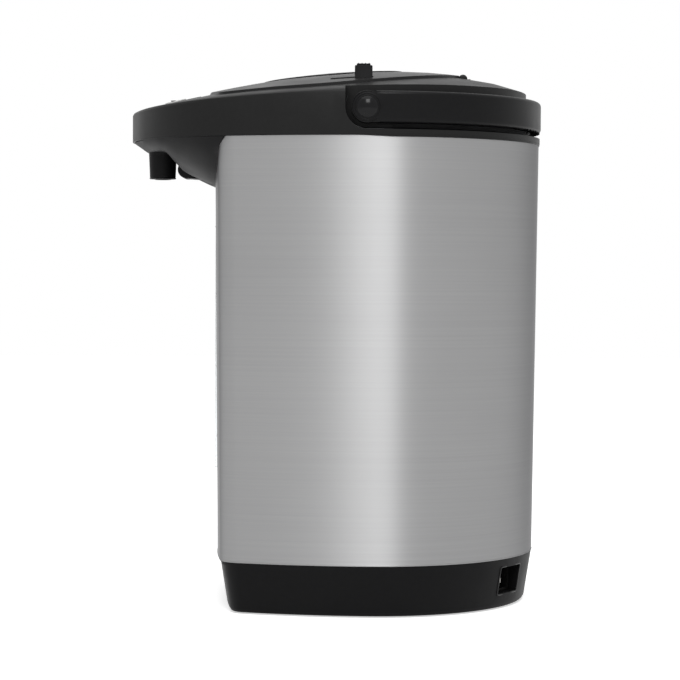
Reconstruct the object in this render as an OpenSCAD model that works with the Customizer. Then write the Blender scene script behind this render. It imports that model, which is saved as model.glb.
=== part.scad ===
// Electric thermo pot: a brushed steel body on a black base, with a visor-like
// head that carries the lid, the controls, the spout and the folding handle.
// The origin is on the body's axis at the floor. The spout points to -X.

/* [Body] */
// Rear radius of the steel shell at its top edge
shell_r = 104.1; // [98:0.1:112]
// How much smaller the shell's radius is at its bottom edge
shell_taper = 2.8; // [0:0.1:6]
// Distance from the axis to the middle of the front face
front_d = 99.5; // [97:0.1:101]
// How much nearer to the axis that face is at its bottom edge
front_taper = 2.3; // [0.5:0.1:4]
// How far past the widest place the sides turn into their slower curve
side_start = 2; // [0:0.5:4]
// Radius of the slow curve across the front face
front_bow_r = 600; // [400:10:2000]
// Radius of the two upright front corners
front_corner_r = 16; // [12:1:22]
// Height of the steel shell
shell_h = 255.1; // [200:1:320]
// Thickness of the steel sheet
shell_wall = 0.8; // [0.5:0.1:1.2]

/* [Base] */
// Height of the underside of the housing above the floor
foot_gap = 0.6; // [0.6:0.1:3]
// Height of the top edge of the base above the floor
base_h = 31.2; // [28:0.5:40]
// Step from the steel back to the base at the front
front_step = 1.2; // [0.5:0.1:2]
// How far the bottom of the base is drawn in from the shell
base_draw = 5; // [3:0.2:9]
// Wall of the base moulding
base_wall = 2.6; // [2:0.1:3.5]
// Radius of a rubber foot
foot_r = 9; // [6:0.5:12]
// Radius of the circle that the feet and screws stand on
foot_circle_r = 68; // [60:1:72]
// Compass angle of the mains inlet, from the rear towards the near side
inlet_angle = -32; // [-60:1:60]
// Width of the mains inlet opening
inlet_w = 24; // [22:0.5:28]
// Height of the mains inlet opening
inlet_h = 16.4; // [15:0.2:18]
// Height of the middle of the mains inlet
inlet_z = 17.6; // [15:0.2:20]

/* [Head] */
// How far the head's rear stands out past the top of the shell
head_overhang = 0.6; // [0.2:0.1:2]
// Radius of the round front of the visor
visor_r = 92.7; // [84:0.1:98]
// Distance of that round front's centre ahead of the axis
visor_x = 59.6; // [50:0.1:75]
// Height of the visor's edge at its tip
tip_band_h = 17.8; // [16:0.2:26]
// Extra height of the edge at the rear
rear_band_rise = 10.2; // [4:0.2:14]
// Height of the top of the dome above the steel shell
dome_h = 43.3; // [38:0.1:50]
// Place of the top of the dome, behind the axis
dome_x = 15; // [5:1:25]
// Wall of the head mouldings
head_wall = 2.6; // [2:0.1:3.2]
// Thickness of the frame plate that carries the lid
frame_t = 4; // [3:0.2:6]

/* [Lid] */
// Margin between the collar and the sides of the lid
lid_margin = 7.9; // [6:0.1:14]
// Distance of the lid's centre ahead of the axis
lid_x = 30; // [26:0.5:34]
// Distance from the axis to the lid's front edge
lid_front = 103.2; // [101:0.1:106]
// Angle at which the lid's sides draw in towards the front
lid_side_angle = 20; // [12:1:24]
// Step of the lid above the head's surface
lid_step = 1.4; // [1:0.1:3]
// Parting gap all round the lid
lid_gap = 0.9; // [0.8:0.1:1.4]
// Wall of the lid moulding
lid_wall = 2.2; // [1.8:0.1:2.8]
// Depth of the lid's skirt below its edge
lid_skirt = 7; // [5:0.5:9]
// Ledge of the pot's rim ahead of the filling mouth
mouth_ledge = 4; // [3:0.5:10]
// Distance of the mouth's centre ahead of the axis
mouth_x = 16; // [12:0.5:18]
// Radius of the press plate
press_r = 45; // [38:0.5:48]
// Travel of the press plate
press_travel = 10; // [6:0.5:12]
// Travel of the lock slider
lock_travel = 14; // [8:0.5:15]

/* [Handle] */
// Distance of the handle's pivot ahead of the axis
pivot_x = 5.3; // [0:0.1:8]
// Height of the pivot above the steel shell
pivot_h = 16.3; // [15:0.1:18]
// Half of the handle's height
handle_half_h = 9.5; // [8:0.1:9.6]
// How far the collar that the handle wraps round is set in from the head's edge
collar_inset = 8.8; // [8.6:0.1:10]
// Clearance between the collar and the handle
handle_gap = 1.6; // [1.4:0.1:2.5]
// Thickness of the handle
handle_t = 7.8; // [7:0.1:9]
// Radius of the handle's pivot pins
pivot_pin_r = 3; // [2.5:0.1:3.5]

/* [Inner pot] */
// Gap between the inner pot and the steel shell at the rear
pot_gap = 8.5; // [6:0.1:12]
// Distance of the inner pot's axis behind the body's axis
pot_x = 6; // [4:0.5:8]
// Height of the inner pot's floor above the base
pot_lift = 26.8; // [26:0.2:60]
// Thickness of the inner pot's sheet
pot_wall = 0.8; // [0.5:0.1:1.2]

/* [Spout] */
// Distance of the nozzle's axis ahead of the body's axis
nozzle_x = 133.6; // [130:0.1:136]
// Radius of the nozzle
nozzle_r = 8.8; // [7:0.1:9]
// Height of the nozzle's mouth below the top of the steel shell
nozzle_drop = 22.6; // [20:0.2:26]
// Travel of the three buttons
button_travel = 1.2; // [0.6:0.1:1.4]
// Width of the cup lever
lever_w = 22; // [16:1:26]

/* [Hidden] */
$fn = 64;
slack = 0.3;               // gap between neighbouring pieces that don't fit together
touch = 0.05;              // overlap that makes one piece of two shapes
running = 0.05;            // radial clearance of a turning fit

// heights
shell_top = base_h + shell_h;
pivot_z = shell_top + pivot_h;
recess_r = pivot_h - 3.2;  // round recess of the head behind the handle's end
ledge_z = pivot_z - recess_r;
frame_top = shell_top + 4.7;
dome_z = shell_top + dome_h;
pot_top = shell_top - 0.3;
pot_bottom = base_h + pot_lift;
pot_h = pot_top - pot_bottom;

// sideways places
shell_r_low = shell_r - shell_taper;
front_d_low = front_d - front_taper;
head_r = shell_r + head_overhang;
collar_r = head_r - collar_inset;
lid_r = collar_r - lid_margin;
pot_r = shell_r_low - shell_wall - pot_x - pot_gap;
mouth_r = pot_r - pot_x - mouth_x - mouth_ledge;
side_from = 90 + side_start;
side_drop = head_r - visor_r;
side_r = head_r + (visor_x * visor_x - side_drop * side_drop)
    / (2 * side_drop - 2 * visor_x * sin(side_start));
side_centre = (head_r - side_r) * [cos(side_from), sin(side_from)];
side_to = atan2(-side_centre[1], -visor_x - side_centre[0]);
hinge_x = lid_r - lid_x - 3.5;
hinge_z = dome_z - 4.4;
barrel_r = 2.8;
hinge_pin_r = 1.3;
handle_in = collar_r + handle_gap;
handle_out = handle_in + handle_t;
notch_x = pivot_x + recess_r;

// ---- outlines -------------------------------------------------------------

function arc(centre, r, from, to, steps) =
    [for (i = [0 : steps]) let (a = from + (to - from) * i / steps) centre + r * [cos(a), sin(a)]];

// closes half an outline, which runs from the rear to the front, by mirroring it
function both_sides(half) =
    concat(half, [for (i = [len(half) - 2 : -1 : 1]) [half[i][0], -half[i][1]]]);

// round rear, sides that draw in by an angle, rounded corners and a bowed front
function d_plan(r, angle, front, bow_r, corner_r, x0 = 0) =
    let (a = 90 + angle)
    let (out = [cos(a), sin(a)], along = [-sin(a), cos(a)])
    let (bow_x = bow_r - (front - x0))
    let (p = (r - corner_r) * out - [bow_x, 0])
    let (b = p * along, c = p * p - pow(bow_r - corner_r, 2))
    let (corner = (r - corner_r) * out + (sqrt(b * b - c) - b) * along)
    let (turn = atan2(corner[1], corner[0] - bow_x))
    [for (q = both_sides(concat(
        arc([0, 0], r, 0, a, 30),
        arc(corner, corner_r, a, turn, 8),
        tail(arc([bow_x, 0], bow_r, turn, 180, 6))
    ))) q - [x0, 0]];

// the upper point where two circles meet
function meet(p, r_p, q, r_q) =
    let (d = norm(q - p), u = (q - p) / norm(q - p))
    let (along = (d * d + r_p * r_p - r_q * r_q) / (2 * d))
    p + along * u + sqrt(r_p * r_p - along * along) * [-u[1], u[0]];

// round rear, slowly curved sides, rounded corners and a bowed front
function body_plan(r, front, inset = 0) =
    let (rear_r = r - inset, corner_r = front_corner_r - inset, bow_r = front_bow_r - inset)
    let (slow_r = side_r + rear_r - head_r, bow = [bow_r - front + inset, 0])
    let (corner = meet(side_centre, slow_r - corner_r, bow, bow_r - corner_r))
    let (first = corner - side_centre, last = corner - bow)
    let (from = atan2(first[1], first[0]), to = atan2(last[1], last[0]))
    both_sides(concat(
        arc([0, 0], rear_r, 0, side_from, 24),
        tail(arc(side_centre, slow_r, side_from, from, 8)),
        tail(arc(corner, corner_r, from, to, 8)),
        tail(arc(bow, bow_r, to, 180, 6))
    ));
function tail(points) = [for (i = [1 : len(points) - 1]) points[i]];

function lid_plan(grow = 0) =
    d_plan(lid_r + grow, lid_side_angle, lid_front + grow, 260 + grow, 14 + grow, lid_x);

// round rear and round visor with slowly curved sides between
function head_plan(inset = 0) =
    both_sides(concat(
        arc([0, 0], head_r - inset, 0, side_from, 26),
        tail(arc(side_centre, side_r - inset, side_from, side_to, 8)),
        tail(arc([-visor_x, 0], visor_r - inset, side_to, 180, 24))
    ));

// half the width of the head at a place along it
function head_half_w(x) =
    x > head_r * cos(side_from) ? sqrt(max(0, head_r * head_r - x * x)) :
    x > visor_r * cos(side_to) - visor_x ?
        side_centre[1] + sqrt(side_r * side_r - pow(x - side_centre[0], 2)) :
    sqrt(max(0, visor_r * visor_r - pow(x + visor_x, 2)));

// height of the head's edge and of the middle of its dome
edge_top_x = 60;            // place from which the edge is level
rear_fall = 0.00158;        // fall of the dome behind its top, for the distance squared
rear_turn = 50;             // distance behind the top from which it falls faster
rear_extra = 0.0022;
front_fall = 0.00103;
front_turn = 118;           // distance ahead of the top from which it falls evenly
front_slope = 0.245;
function edge_z(x) =
    let (share = max(0, edge_top_x - x) / (edge_top_x + visor_x + visor_r))
    shell_top + tip_band_h + rear_band_rise * (1 - share * share);
function dome_fall(d) =
    d > 0 ? rear_fall * d * d + rear_extra * pow(max(0, d - rear_turn), 2) :
    front_fall * pow(min(-d, front_turn), 2) + front_slope * max(0, -d - front_turn);
function crest_z(x) = max(edge_z(x), dome_z - dome_fall(x - dome_x));
// the head's domed surface, which the lid and the panels follow
function skin_z(x, y) =
    let (share = min(1, abs(y) / max(0.1, head_half_w(x))))
    crest_z(x) - (crest_z(x) - edge_z(x)) * share * share;

// ---- solids ---------------------------------------------------------------

// closed solid through rings of equal length, capped by fans
module loft(rings) {
    n = len(rings[0]);
    k = len(rings);
    low = rings[0];
    high = rings[k - 1];
    points = concat([for (ring = rings, p = ring) p], [middle(low), middle(high)]);
    sides = [for (j = [0 : k - 2], i = [0 : n - 1]) let (m = (i + 1) % n)
        each [[j * n + i, (j + 1) * n + i, (j + 1) * n + m], [j * n + i, (j + 1) * n + m, j * n + m]]];
    floor = [for (i = [0 : n - 1]) [i, (i + 1) % n, k * n]];
    roof = [for (i = [0 : n - 1]) [(k - 1) * n + (i + 1) % n, (k - 1) * n + i, k * n + 1]];
    polyhedron(points = points, faces = concat(sides, floor, roof));
}
function middle(ring) =
    let (n = len(ring))
    [for (axis = [0 : 2])
        ([for (i = 0, s = 0; i <= n; s = s + (i < n ? ring[i][axis] : 0), i = i + 1) s][n]) / n];
function at_z(plan, z) = [for (p = plan) [p[0], p[1], z]];
function on_skin(plan, lift) = [for (p = plan) [p[0], p[1], skin_z(p[0], p[1]) + lift]];
function shrink(plan, share, x) = [for (p = plan) [x + (p[0] - x) * share, p[1] * share]];

// solid whose top follows the domed skin and whose foot is level
module skin_solid(plan, foot, lift, x) {
    loft(concat(
        [at_z(plan, foot)],
        [for (share = [1, 0.92, 0.8, 0.64, 0.44, 0.22, 0.04]) on_skin(shrink(plan, share, x), lift)]
    ));
}
module upright(plan, low, high) {
    translate([0, 0, low]) linear_extrude(high - low) polygon(plan);
}
// cylinder that lies along Y
module y_rod(x, z, r, from, to) {
    translate([x, to, z]) rotate([90, 0, 0]) cylinder(r = r, h = to - from);
}
// plate that stands in the XZ plane
module y_slab(outline, from, to) {
    translate([0, to, 0]) rotate([90, 0, 0]) linear_extrude(to - from) polygon(outline);
}
module mirrored_y() {
    children();
    mirror([0, 1, 0]) children();
}
module ring(r_out, r_in, h) {
    difference() {
        cylinder(r = r_out, h = h);
        translate([0, 0, -1]) cylinder(r = r_in, h = h + 2);
    }
}
// tube along points of a plane Y = y
module tube(path, y, r, r_bore) {
    difference() {
        sweep(path, y, r, 0);
        sweep(path, y, r_bore, 0.5);
    }
}
module sweep(path, y, r, extend) {
    n = len(path);
    loft([for (i = [0 : n - 1])
        let (a = path[max(0, i - 1)], b = path[min(n - 1, i + 1)])
        let (t = (b - a) / norm(b - a))
        let (c = path[i] + t * (i == 0 ? -extend : i == n - 1 ? extend : 0))
        [for (j = [0 : 15]) let (w = j * 22.5)
            [c[0] - t[1] * r * sin(w), y + r * cos(w), c[1] + t[0] * r * sin(w)]]
    ]);
}

// ---- base -----------------------------------------------------------------

foot_angles = [45, 135, 225, 315];
screw_angles = [0, 90, 180, 270];
cover_t = 2.5;
cover_z = foot_gap;
flange_z = cover_z + cover_t;

base_edge_r = 2.4;

// outline of the base at a height: it draws in towards the floor
function base_plan(z, inset = 0) =
    let (draw = 0.1 + base_draw * (1 - z / base_h))
    body_plan(shell_r_low, front_d_low - front_step, draw + inset);

module base_solid() {
    loft(concat(
        [for (a = [90 : -15 : 15]) at_z(base_plan(foot_gap, base_edge_r * (1 - cos(a))),
            foot_gap + base_edge_r * (1 - sin(a)))],
        [at_z(base_plan(foot_gap + base_edge_r), foot_gap + base_edge_r), at_z(base_plan(base_h), base_h)]
    ));
}
module base_hollow() {
    loft([
        at_z(base_plan(flange_z, base_wall + 1.6), flange_z),
        at_z(base_plan(foot_gap + base_edge_r, base_wall), foot_gap + base_edge_r + 0.5),
        at_z(base_plan(base_h, base_wall), base_h + touch)
    ]);
}

module rubber_feet() {
    color("#1b1b1b")
    for (a = foot_angles)
        rotate(a) translate([foot_circle_r, 0, 0]) {
            cylinder(r1 = foot_r - 0.6, r2 = foot_r, h = 0.6);
            translate([0, 0, 0.6]) cylinder(r = foot_r, h = foot_gap + 1.2 - 0.6);
        }
}

module bottom_cover() {
    vent_slots = 5;
    color("#26272a")
    difference() {
        upright(base_plan(foot_gap, base_wall + 5), cover_z, flange_z);
        for (a = foot_angles)
            rotate(a) translate([foot_circle_r, 0, cover_z - 1]) cylinder(r = foot_r + 0.1, h = 2.2);
        for (a = screw_angles)
            rotate(a) translate([foot_circle_r + 6, 0, cover_z - 1]) {
                cylinder(r = 2.1, h = cover_t + 2);
                cylinder(r = 4.2, h = 2.2);
            }
        for (i = [0 : vent_slots - 1])
            translate([-22 + i * 11, -20, cover_z - 1]) cube([4, 40, cover_t + 2]);
    }
}

module base_screws() {
    color("#b9bcc0")
    for (a = screw_angles)
        rotate(a) translate([foot_circle_r + 6, 0, cover_z + 0.2]) {
            difference() {
                cylinder(r = 3.8, h = 1);
                translate([-2.4, -0.4, -1]) cube([4.8, 0.8, 1.6]);
                translate([-0.4, -2.4, -1]) cube([0.8, 4.8, 1.6]);
            }
            cylinder(r = 1.6, h = 8.6);
        }
}

// room for the inlet, cut along its compass angle
module at_inlet() {
    rotate(inlet_angle) translate([shell_r_low, 0, inlet_z]) children();
}
inlet_depth = 15;
module base_housing() {
    color("#2b2c2e")
    difference() {
        union() {
            difference() {
                base_solid();
                base_hollow();
                upright(base_plan(foot_gap, base_wall + 4.6), foot_gap - 1, flange_z + 1);
            }
            // flange that the bottom cover is screwed to
            difference() {
                upright(base_plan(foot_gap, base_wall), flange_z, flange_z + 2.4);
                upright(shrink(base_plan(foot_gap, base_wall), 0.78, 0), flange_z - 1, flange_z + 4);
            }
            // spigot inside the steel shell
            difference() {
                upright(body_plan(shell_r_low, front_d_low, shell_wall + 0.3), base_h - 2, base_h + 6);
                upright(body_plan(shell_r_low, front_d_low, shell_wall + 2.6), base_h - 3, base_h + 7);
            }
            // bosses for the screws
            for (a = screw_angles)
                rotate(a) translate([foot_circle_r + 6, 0, flange_z]) cylinder(r = 4, h = 7.5);
            // box behind the mains inlet
            intersection() {
                at_inlet() translate([-inlet_depth - 6, -inlet_w / 2 - 2.4, -inlet_h / 2 - 2.2])
                    cube([inlet_depth + 8, inlet_w + 4.8, inlet_h + 4.4]);
                base_solid();
            }
        }
        at_inlet() translate([-inlet_depth - 7, -inlet_w / 2, -inlet_h / 2])
            cube([inlet_depth + 30, inlet_w, inlet_h]);
        for (a = screw_angles)
            rotate(a) translate([foot_circle_r + 6, 0, flange_z - 1]) cylinder(r = 1.6, h = 7.5);
    }
}

socket_back = inlet_depth + 6;
module inlet_socket() {
    color("#141414")
    at_inlet() difference() {
        translate([-socket_back, -inlet_w / 2 + 0.1, -inlet_h / 2 + 0.1])
            cube([12, inlet_w - 0.2, inlet_h - 0.2]);
        translate([-socket_back + 3, -inlet_w / 2 + 2.4, -inlet_h / 2 + 2])
            cube([12, inlet_w - 4.8, inlet_h - 4]);
        for (y = [-7, 0, 7])
            translate([-socket_back - 1, y - 1.05, (y == 0 ? 2 : -2) - 2.05]) cube([6, 2.1, 4.1]);
    }
}
module inlet_pins() {
    color("#c8c8c6")
    at_inlet() for (y = [-7, 0, 7])
        translate([-socket_back - 5, y - 1, (y == 0 ? 2 : -2) - 2]) cube([14, 2, 4]);
}

// ---- body -----------------------------------------------------------------

window_low = base_h + 50;
window_high = shell_top - 42;
window_w = 9;
pipe_z = shell_top - 7.5;

module outer_shell() {
    color("#b4b5b6")
    difference() {
        loft([
            at_z(body_plan(shell_r_low, front_d_low), base_h),
            at_z(body_plan(shell_r, front_d), shell_top)
        ]);
        loft([
            at_z(body_plan(shell_r_low, front_d_low, shell_wall), base_h - 1),
            at_z(body_plan(shell_r_low, front_d_low, shell_wall), base_h),
            at_z(body_plan(shell_r, front_d, shell_wall), shell_top),
            at_z(body_plan(shell_r, front_d, shell_wall), shell_top + 1)
        ]);
        // slot for the level window and hole for the spout pipe
        translate([-front_d - 3, -window_w / 2, window_low]) cube([10, window_w, window_high - window_low]);
        translate([-front_d - 3, 0, pipe_z]) rotate([0, 90, 0]) cylinder(r = 5, h = 12);
    }
}

panel_w = 28;
panel_t = 0.3;
window_t = 3.1;
// outline of the steel shell at a height, which widens towards the top
function shell_ring(z, inset) =
    let (share = (z - base_h) / shell_h)
    at_z(body_plan(shell_r_low + shell_taper * share, front_d_low + front_taper * share, inset), z);

module front_panel() {
    low = base_h + 6;
    high = shell_top - 30;
    color("#1f2022")
    difference() {
        loft([shell_ring(low, -panel_t), shell_ring(high, -panel_t)]);
        loft([shell_ring(low - touch, -0.03), shell_ring(high + touch, -0.03)]);
        translate([-front_d + 8, -150, low - 1]) cube([400, 300, shell_h]);
        mirrored_y() translate([-front_d - 10, panel_w / 2, low - 1]) cube([40, 150, shell_h]);
        translate([-front_d - 6, -window_w / 2, window_low]) cube([12, window_w, window_high - window_low]);
    }
}
module level_window() {
    color("#cfe0e4")
    translate([-front_d - panel_t + 0.1, -window_w / 2 + 0.1, window_low + 0.1])
        cube([window_t, window_w - 0.2, window_high - window_low - 0.2]);
}

tube_x = -(front_d_low - 9.3);
tube_low = pot_bottom - 12;
tube_high = shell_top - 22;
module level_tube() {
    color("#dfe8ea")
    translate([tube_x, 0, tube_low]) ring(4.6, 3.2, tube_high - tube_low);
}

// ---- inner pot and heating ------------------------------------------------

module inner_pot() {
    corner = 10;
    color("#c9cbcc")
    translate([pot_x, 0, pot_bottom])
    rotate_extrude($fn = 120) {
        difference() {
            union() {
                translate([0, corner]) square([pot_r, pot_h - corner]);
                square([pot_r - corner, pot_h]);
                translate([pot_r - corner, corner]) circle(r = corner);
                translate([0, pot_h - pot_wall]) square([pot_r + 3.5, pot_wall]);
            }
            translate([0, corner]) square([pot_r - pot_wall, pot_h]);
            translate([0, pot_wall]) square([pot_r - corner, pot_h]);
            translate([pot_r - corner, corner]) circle(r = corner - pot_wall);
            translate([-200, -1]) square([200, pot_h + 2]);
        }
    }
}
module pot_seal() {
    color("#d8d8d2")
    translate([pot_x, 0, pot_top]) ring(pot_r + 3, pot_r - 3, frame_top - frame_t - pot_top);
}
module insulation_sleeve() {
    color("#d9d5c8")
    translate([pot_x, 0, pot_bottom + 14]) ring(pot_r + 1.6, pot_r + slack, pot_h - 22);
}
plate_t = 6;
module heating_plate() {
    color("#9fa1a3")
    translate([pot_x, 0, pot_bottom - plate_t])
    difference() {
        cylinder(r = 62, h = plate_t);
        translate([-34 - pot_x, 0, -1]) cylinder(r = 9, h = plate_t + 2);
    }
}
module keep_warm_band() {
    color("#c7b299")
    translate([pot_x, 0, pot_bottom - 3.2]) ring(74, 66, 3.2);
}
module thermostat() {
    color("#b8b8ba")
    translate([pot_x + 24, 18, pot_bottom - plate_t - 7.4]) {
        cylinder(r = 7.5, h = 7.4);
        translate([0, 0, -4.5]) cylinder(r = 5.2, h = 4.6);
        translate([-11, -3.5, 6.4]) cube([22, 7, 1]);
    }
}
module thermal_fuse() {
    color("#d8cfae")
    translate([pot_x + 10, -26, pot_bottom - plate_t - 2.2]) rotate([0, 90, 0]) cylinder(r = 2.2, h = 26);
}
shield_z = pot_bottom - plate_t - 16;
module heat_shield() {
    color("#c4c6c8")
    translate([pot_x, 0, shield_z])
    difference() {
        union() {
            cylinder(r = 70, h = 1);
            // three legs that hold it under the pot
            for (a = [60, 180, 300])
                rotate(a) translate([64, 0, 0]) cylinder(r = 1.5, h = pot_bottom - shield_z);
        }
        translate([-34 - pot_x, 0, -1]) cylinder(r = 9, h = 4);
        translate([24, 18, -1]) cylinder(r = 6.5, h = 4);
    }
}

// ---- pump -----------------------------------------------------------------

pump_x = -34;
pump_z = flange_z + 13;
pump_r = 19;
module pump_housing() {
    color("#3a3b3e")
    translate([pump_x, 0, pump_z])
    difference() {
        union() {
            cylinder(r = pump_r, h = 10);
            // outlet stub towards the front
            translate([0, 0, 5]) rotate([0, -90, 0]) cylinder(r = 4, h = pump_r + 10);
        }
        translate([0, 0, -1]) cylinder(r = pump_r - 2, h = 9.5);
        translate([0, 0, 5]) rotate([0, -90, 0]) cylinder(r = 2.6, h = pump_r + 11);
        translate([0, 0, 5]) cylinder(r = 4, h = 10);
    }
    color("#3a3b3e")
    translate([pump_x, 0, pump_z + 10]) ring(6, 4, 9);
}
module pump_cover() {
    color("#3a3b3e")
    translate([pump_x, 0, pump_z - 2])
    difference() {
        cylinder(r = pump_r, h = 2);
        translate([0, 0, -1]) cylinder(r = 1.5 + running, h = 4);
    }
}
module pump_impeller() {
    vanes = 6;
    color("#e4e0d4")
    translate([pump_x, 0, pump_z + 0.6]) {
        cylinder(r = 13.5, h = 1.6);
        cylinder(r = 4, h = 4);
        for (i = [0 : vanes - 1])
            rotate(i * 360 / vanes) translate([3, -0.7, 1.5]) cube([10, 1.4, 5]);
        translate([0, 0, -4.4]) cylinder(r = 1.5, h = 5);
    }
}
module pump_motor() {
    motor_top = pump_z - 2;
    color("#8d9094")
    translate([pump_x, 0, flange_z + 0.4])
    difference() {
        cylinder(r = 15, h = motor_top - flange_z - 0.4);
        translate([0, 0, motor_top - flange_z - 0.4 - 6]) cylinder(r = 1.5 + running, h = 8);
    }
}
module suction_hose() {
    color("#d9d9d0")
    translate([pump_x, 0, pump_z + 10 + 1])
        ring(7.8, 6.05, pot_bottom - pump_z - 11);
}
module delivery_hose() {
    start_x = pump_x - pump_r - 10;
    color("#d9d9d0")
    tube([[start_x, pump_z + 5], [start_x - 8, pump_z + 5], [tube_x + 10, pump_z + 6],
        [tube_x + 4.5, pump_z + 9], [tube_x + 1, pump_z + 14], [tube_x, pump_z + 19],
        [tube_x, tube_low]], 0, 4.6, 3.2);
}

// ---- boards ---------------------------------------------------------------

module power_board() {
    z = flange_z + 9;
    color("#7b5a36")
    difference() {
        union() {
            translate([2, -34, z]) cube([56, 68, 1.6]);
            for (x = [7, 53], y = [-29, 29]) translate([x, y, flange_z]) cylinder(r = 2.5, h = 9.1);
        }
        for (x = [7, 53], y = [-29, 29]) translate([x, y, flange_z - 1]) cylinder(r = 1, h = 12);
    }
    color("#222428")
    translate([10, -22, z + 1.6]) cube([16, 20, 12]);
    color("#303a86")
    for (y = [6, 20]) translate([18, y, z + 1.6]) cylinder(r = 5, h = 12);
}

panel_rear = -lid_front - 4;
panel_front = -visor_x - visor_r + 12;
panel_rear_half = 46;
panel_front_half = 30;
deck_x = (panel_rear + panel_front) / 2;
board_z = shell_top + 8;
board_t = 1.6;
boss_y = 43;
module control_board() {
    color("#2f6b3c")
    translate([deck_x - 12, -boss_y - 4, board_z]) cube([26, 2 * boss_y + 8, board_t]);
    color("#1d1d1f")
    for (b = button_list)
        translate([deck_x + b[0] - 3, b[1] - 3, board_z + board_t]) cube([6, 6, 2]);
}

// ---- head -----------------------------------------------------------------

module head_frame() {
    color("#2a2b2d")
    difference() {
        union() {
            upright(body_plan(shell_r, front_d, head_wall + slack), shell_top - 1, ledge_z - 2.4 - slack);
            // thicker inside the collar and ahead of the handle's room
            intersection() {
                upright(body_plan(shell_r, front_d, head_wall + slack),
                    min(frame_top - frame_t, ledge_z - 3.4 - slack), frame_top);
                union() {
                    cylinder(r = collar_r - 2.4 - slack, h = dome_z, $fn = 160);
                    translate([-200 - notch_x - 2.4 - slack, -150, 0]) cube([200, 300, dome_z]);
                }
            }
            // spigot inside the steel shell
            difference() {
                upright(body_plan(shell_r, front_d, shell_wall + 0.4), shell_top - 5, shell_top - slack);
                upright(body_plan(shell_r, front_d, shell_wall + 4), shell_top - 6, shell_top);
            }
        }
        translate([-mouth_x, 0, shell_top - 10]) cylinder(r = mouth_r, h = 30, $fn = 120);
        // room for the inner pot's flange and seal, and for the spout pipe
        translate([pot_x, 0, shell_top - 10])
            cylinder(r = pot_r + 4, h = 10 + frame_top - frame_t - shell_top, $fn = 120);
        translate([-front_d - 3, -6, shell_top - 10]) cube([9, 12, 10]);
        head_screw_places() {
            translate([0, 0, shell_top - 1]) cylinder(r = 1.7, h = 12);
            translate([0, 0, shell_top - 1]) cylinder(r = 3.5, h = frame_top - frame_t - shell_top + 2.7);
        }
    }
}
module head_screw_places() {
    for (a = [-55, 0, 55]) rotate(a) translate([collar_r - head_wall - 6.6, 0, 0]) children();
}
module head_screws() {
    color("#b9bcc0")
    head_screw_places() translate([0, 0, frame_top - frame_t + 0.05]) {
        cylinder(r = 3.2, h = 1.6);
        cylinder(r = 1.65, h = frame_t + 7);
    }
}

// room for the folded handle, outside the collar
module handle_room(grow) {
    difference() {
        union() {
            translate([-pivot_x, -150, ledge_z - grow]) cube([300, 300, 100]);
            translate([-notch_x - grow, -150, pivot_z]) cube([300, 300, 100]);
            y_rod(-pivot_x, pivot_z, recess_r + grow, -150, 150);
        }
        translate([0, 0, shell_top - 20]) cylinder(r = collar_r - grow, h = 120, $fn = 160);
        translate([-250 - notch_x, -200, shell_top - 20]) cube([250 - grow, 400, 120]);
    }
}

pocket_z = hinge_z - barrel_r - 0.6;
ear_list = [[-7, 7], [25, 31], [-31, -25]];      // hinge ears of the head, along Y
knuckle_list = [[7.3, 24.7], [-24.7, -7.3]];     // hinge knuckles of the lid, along Y
button_list = [[0, 0, 9], [0, -25, 6.5], [0, 25, 6.5]]; // place along X and Y, radius

module head_cover() {
    color("#2b2c2e")
    difference() {
        union() {
            difference() {
                head_solid(0, shell_top, 0);
                // hollow, but for the well round the lid and the walls round the handle's room
                difference() {
                    head_solid(head_wall, shell_top - 1, -head_wall);
                    upright(lid_plan(lid_gap + 2.2), frame_top, dome_z + 20);
                    handle_room(2.4);
                    mirrored_y() y_rod(-pivot_x, pivot_z, 7, lid_r - 1, collar_r);
                    head_screw_places() translate([0, 0, frame_top]) cylinder(r = 3.6, h = 60);
                    translate([hinge_x - 6, -34.4, pocket_z - 3]) cube([12, 68.8, 60]);
                    front_floor();
                    // bosses that the control board hangs from
                    mirrored_y() translate([deck_x, boss_y, board_z + board_t]) cylinder(r = 3, h = 60);
                }
                upright(lid_plan(lid_gap), frame_top, dome_z + 20);
                upright(body_plan(shell_r, front_d, head_wall), shell_top - 2, frame_top + touch);
                handle_room(0);
                // pocket that the hinge turns in
                translate([hinge_x - 12, -31.8, pocket_z]) cube([12 + barrel_r + 0.6, 63.6, 60]);
            }
            // hinge ears
            for (e = ear_list) {
                y_rod(hinge_x, hinge_z, barrel_r, e[0], e[1]);
                translate([hinge_x, e[0], pocket_z - touch])
                    cube([barrel_r + 1.9, e[1] - e[0], hinge_z - pocket_z]);
            }
        }
        y_rod(hinge_x, hinge_z, hinge_pin_r, -31.5, 31.5);
        mirrored_y() y_rod(-pivot_x, pivot_z, pivot_pin_r, 89, 120);
        head_screw_places() translate([0, 0, frame_top - 1]) cylinder(r = 1.65, h = 9);
        // opening and seat of the control panel
        upright(panel_plan(-2), board_z, dome_z + 20);
        difference() {
            upright(panel_plan(0.1), board_z, dome_z + 20);
            skin_solid(panel_plan(3), board_z - 1, -1.2, deck_x);
        }
    }
}
// floor of the lid's well ahead of the frame
module front_floor() {
    intersection() {
        upright(lid_plan(lid_gap + 2.2), frame_top - 2.6, frame_top + touch);
        translate([-200, -150, 0]) cube([200 - front_d + 30, 300, dome_z]);
    }
}
// the head's outer form, whose top edge is eased
module head_solid(inset, low, lift) {
    plan = head_plan(inset);
    loft(concat(
        [at_z(plan, low), on_skin(plan, lift - 1.4), on_skin(shrink(plan, 0.9955, -24), lift - 0.4)],
        [for (share = [0.988, 0.92, 0.8, 0.64, 0.44, 0.22, 0.04]) on_skin(shrink(plan, share, -24), lift)]
    ));
}

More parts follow.
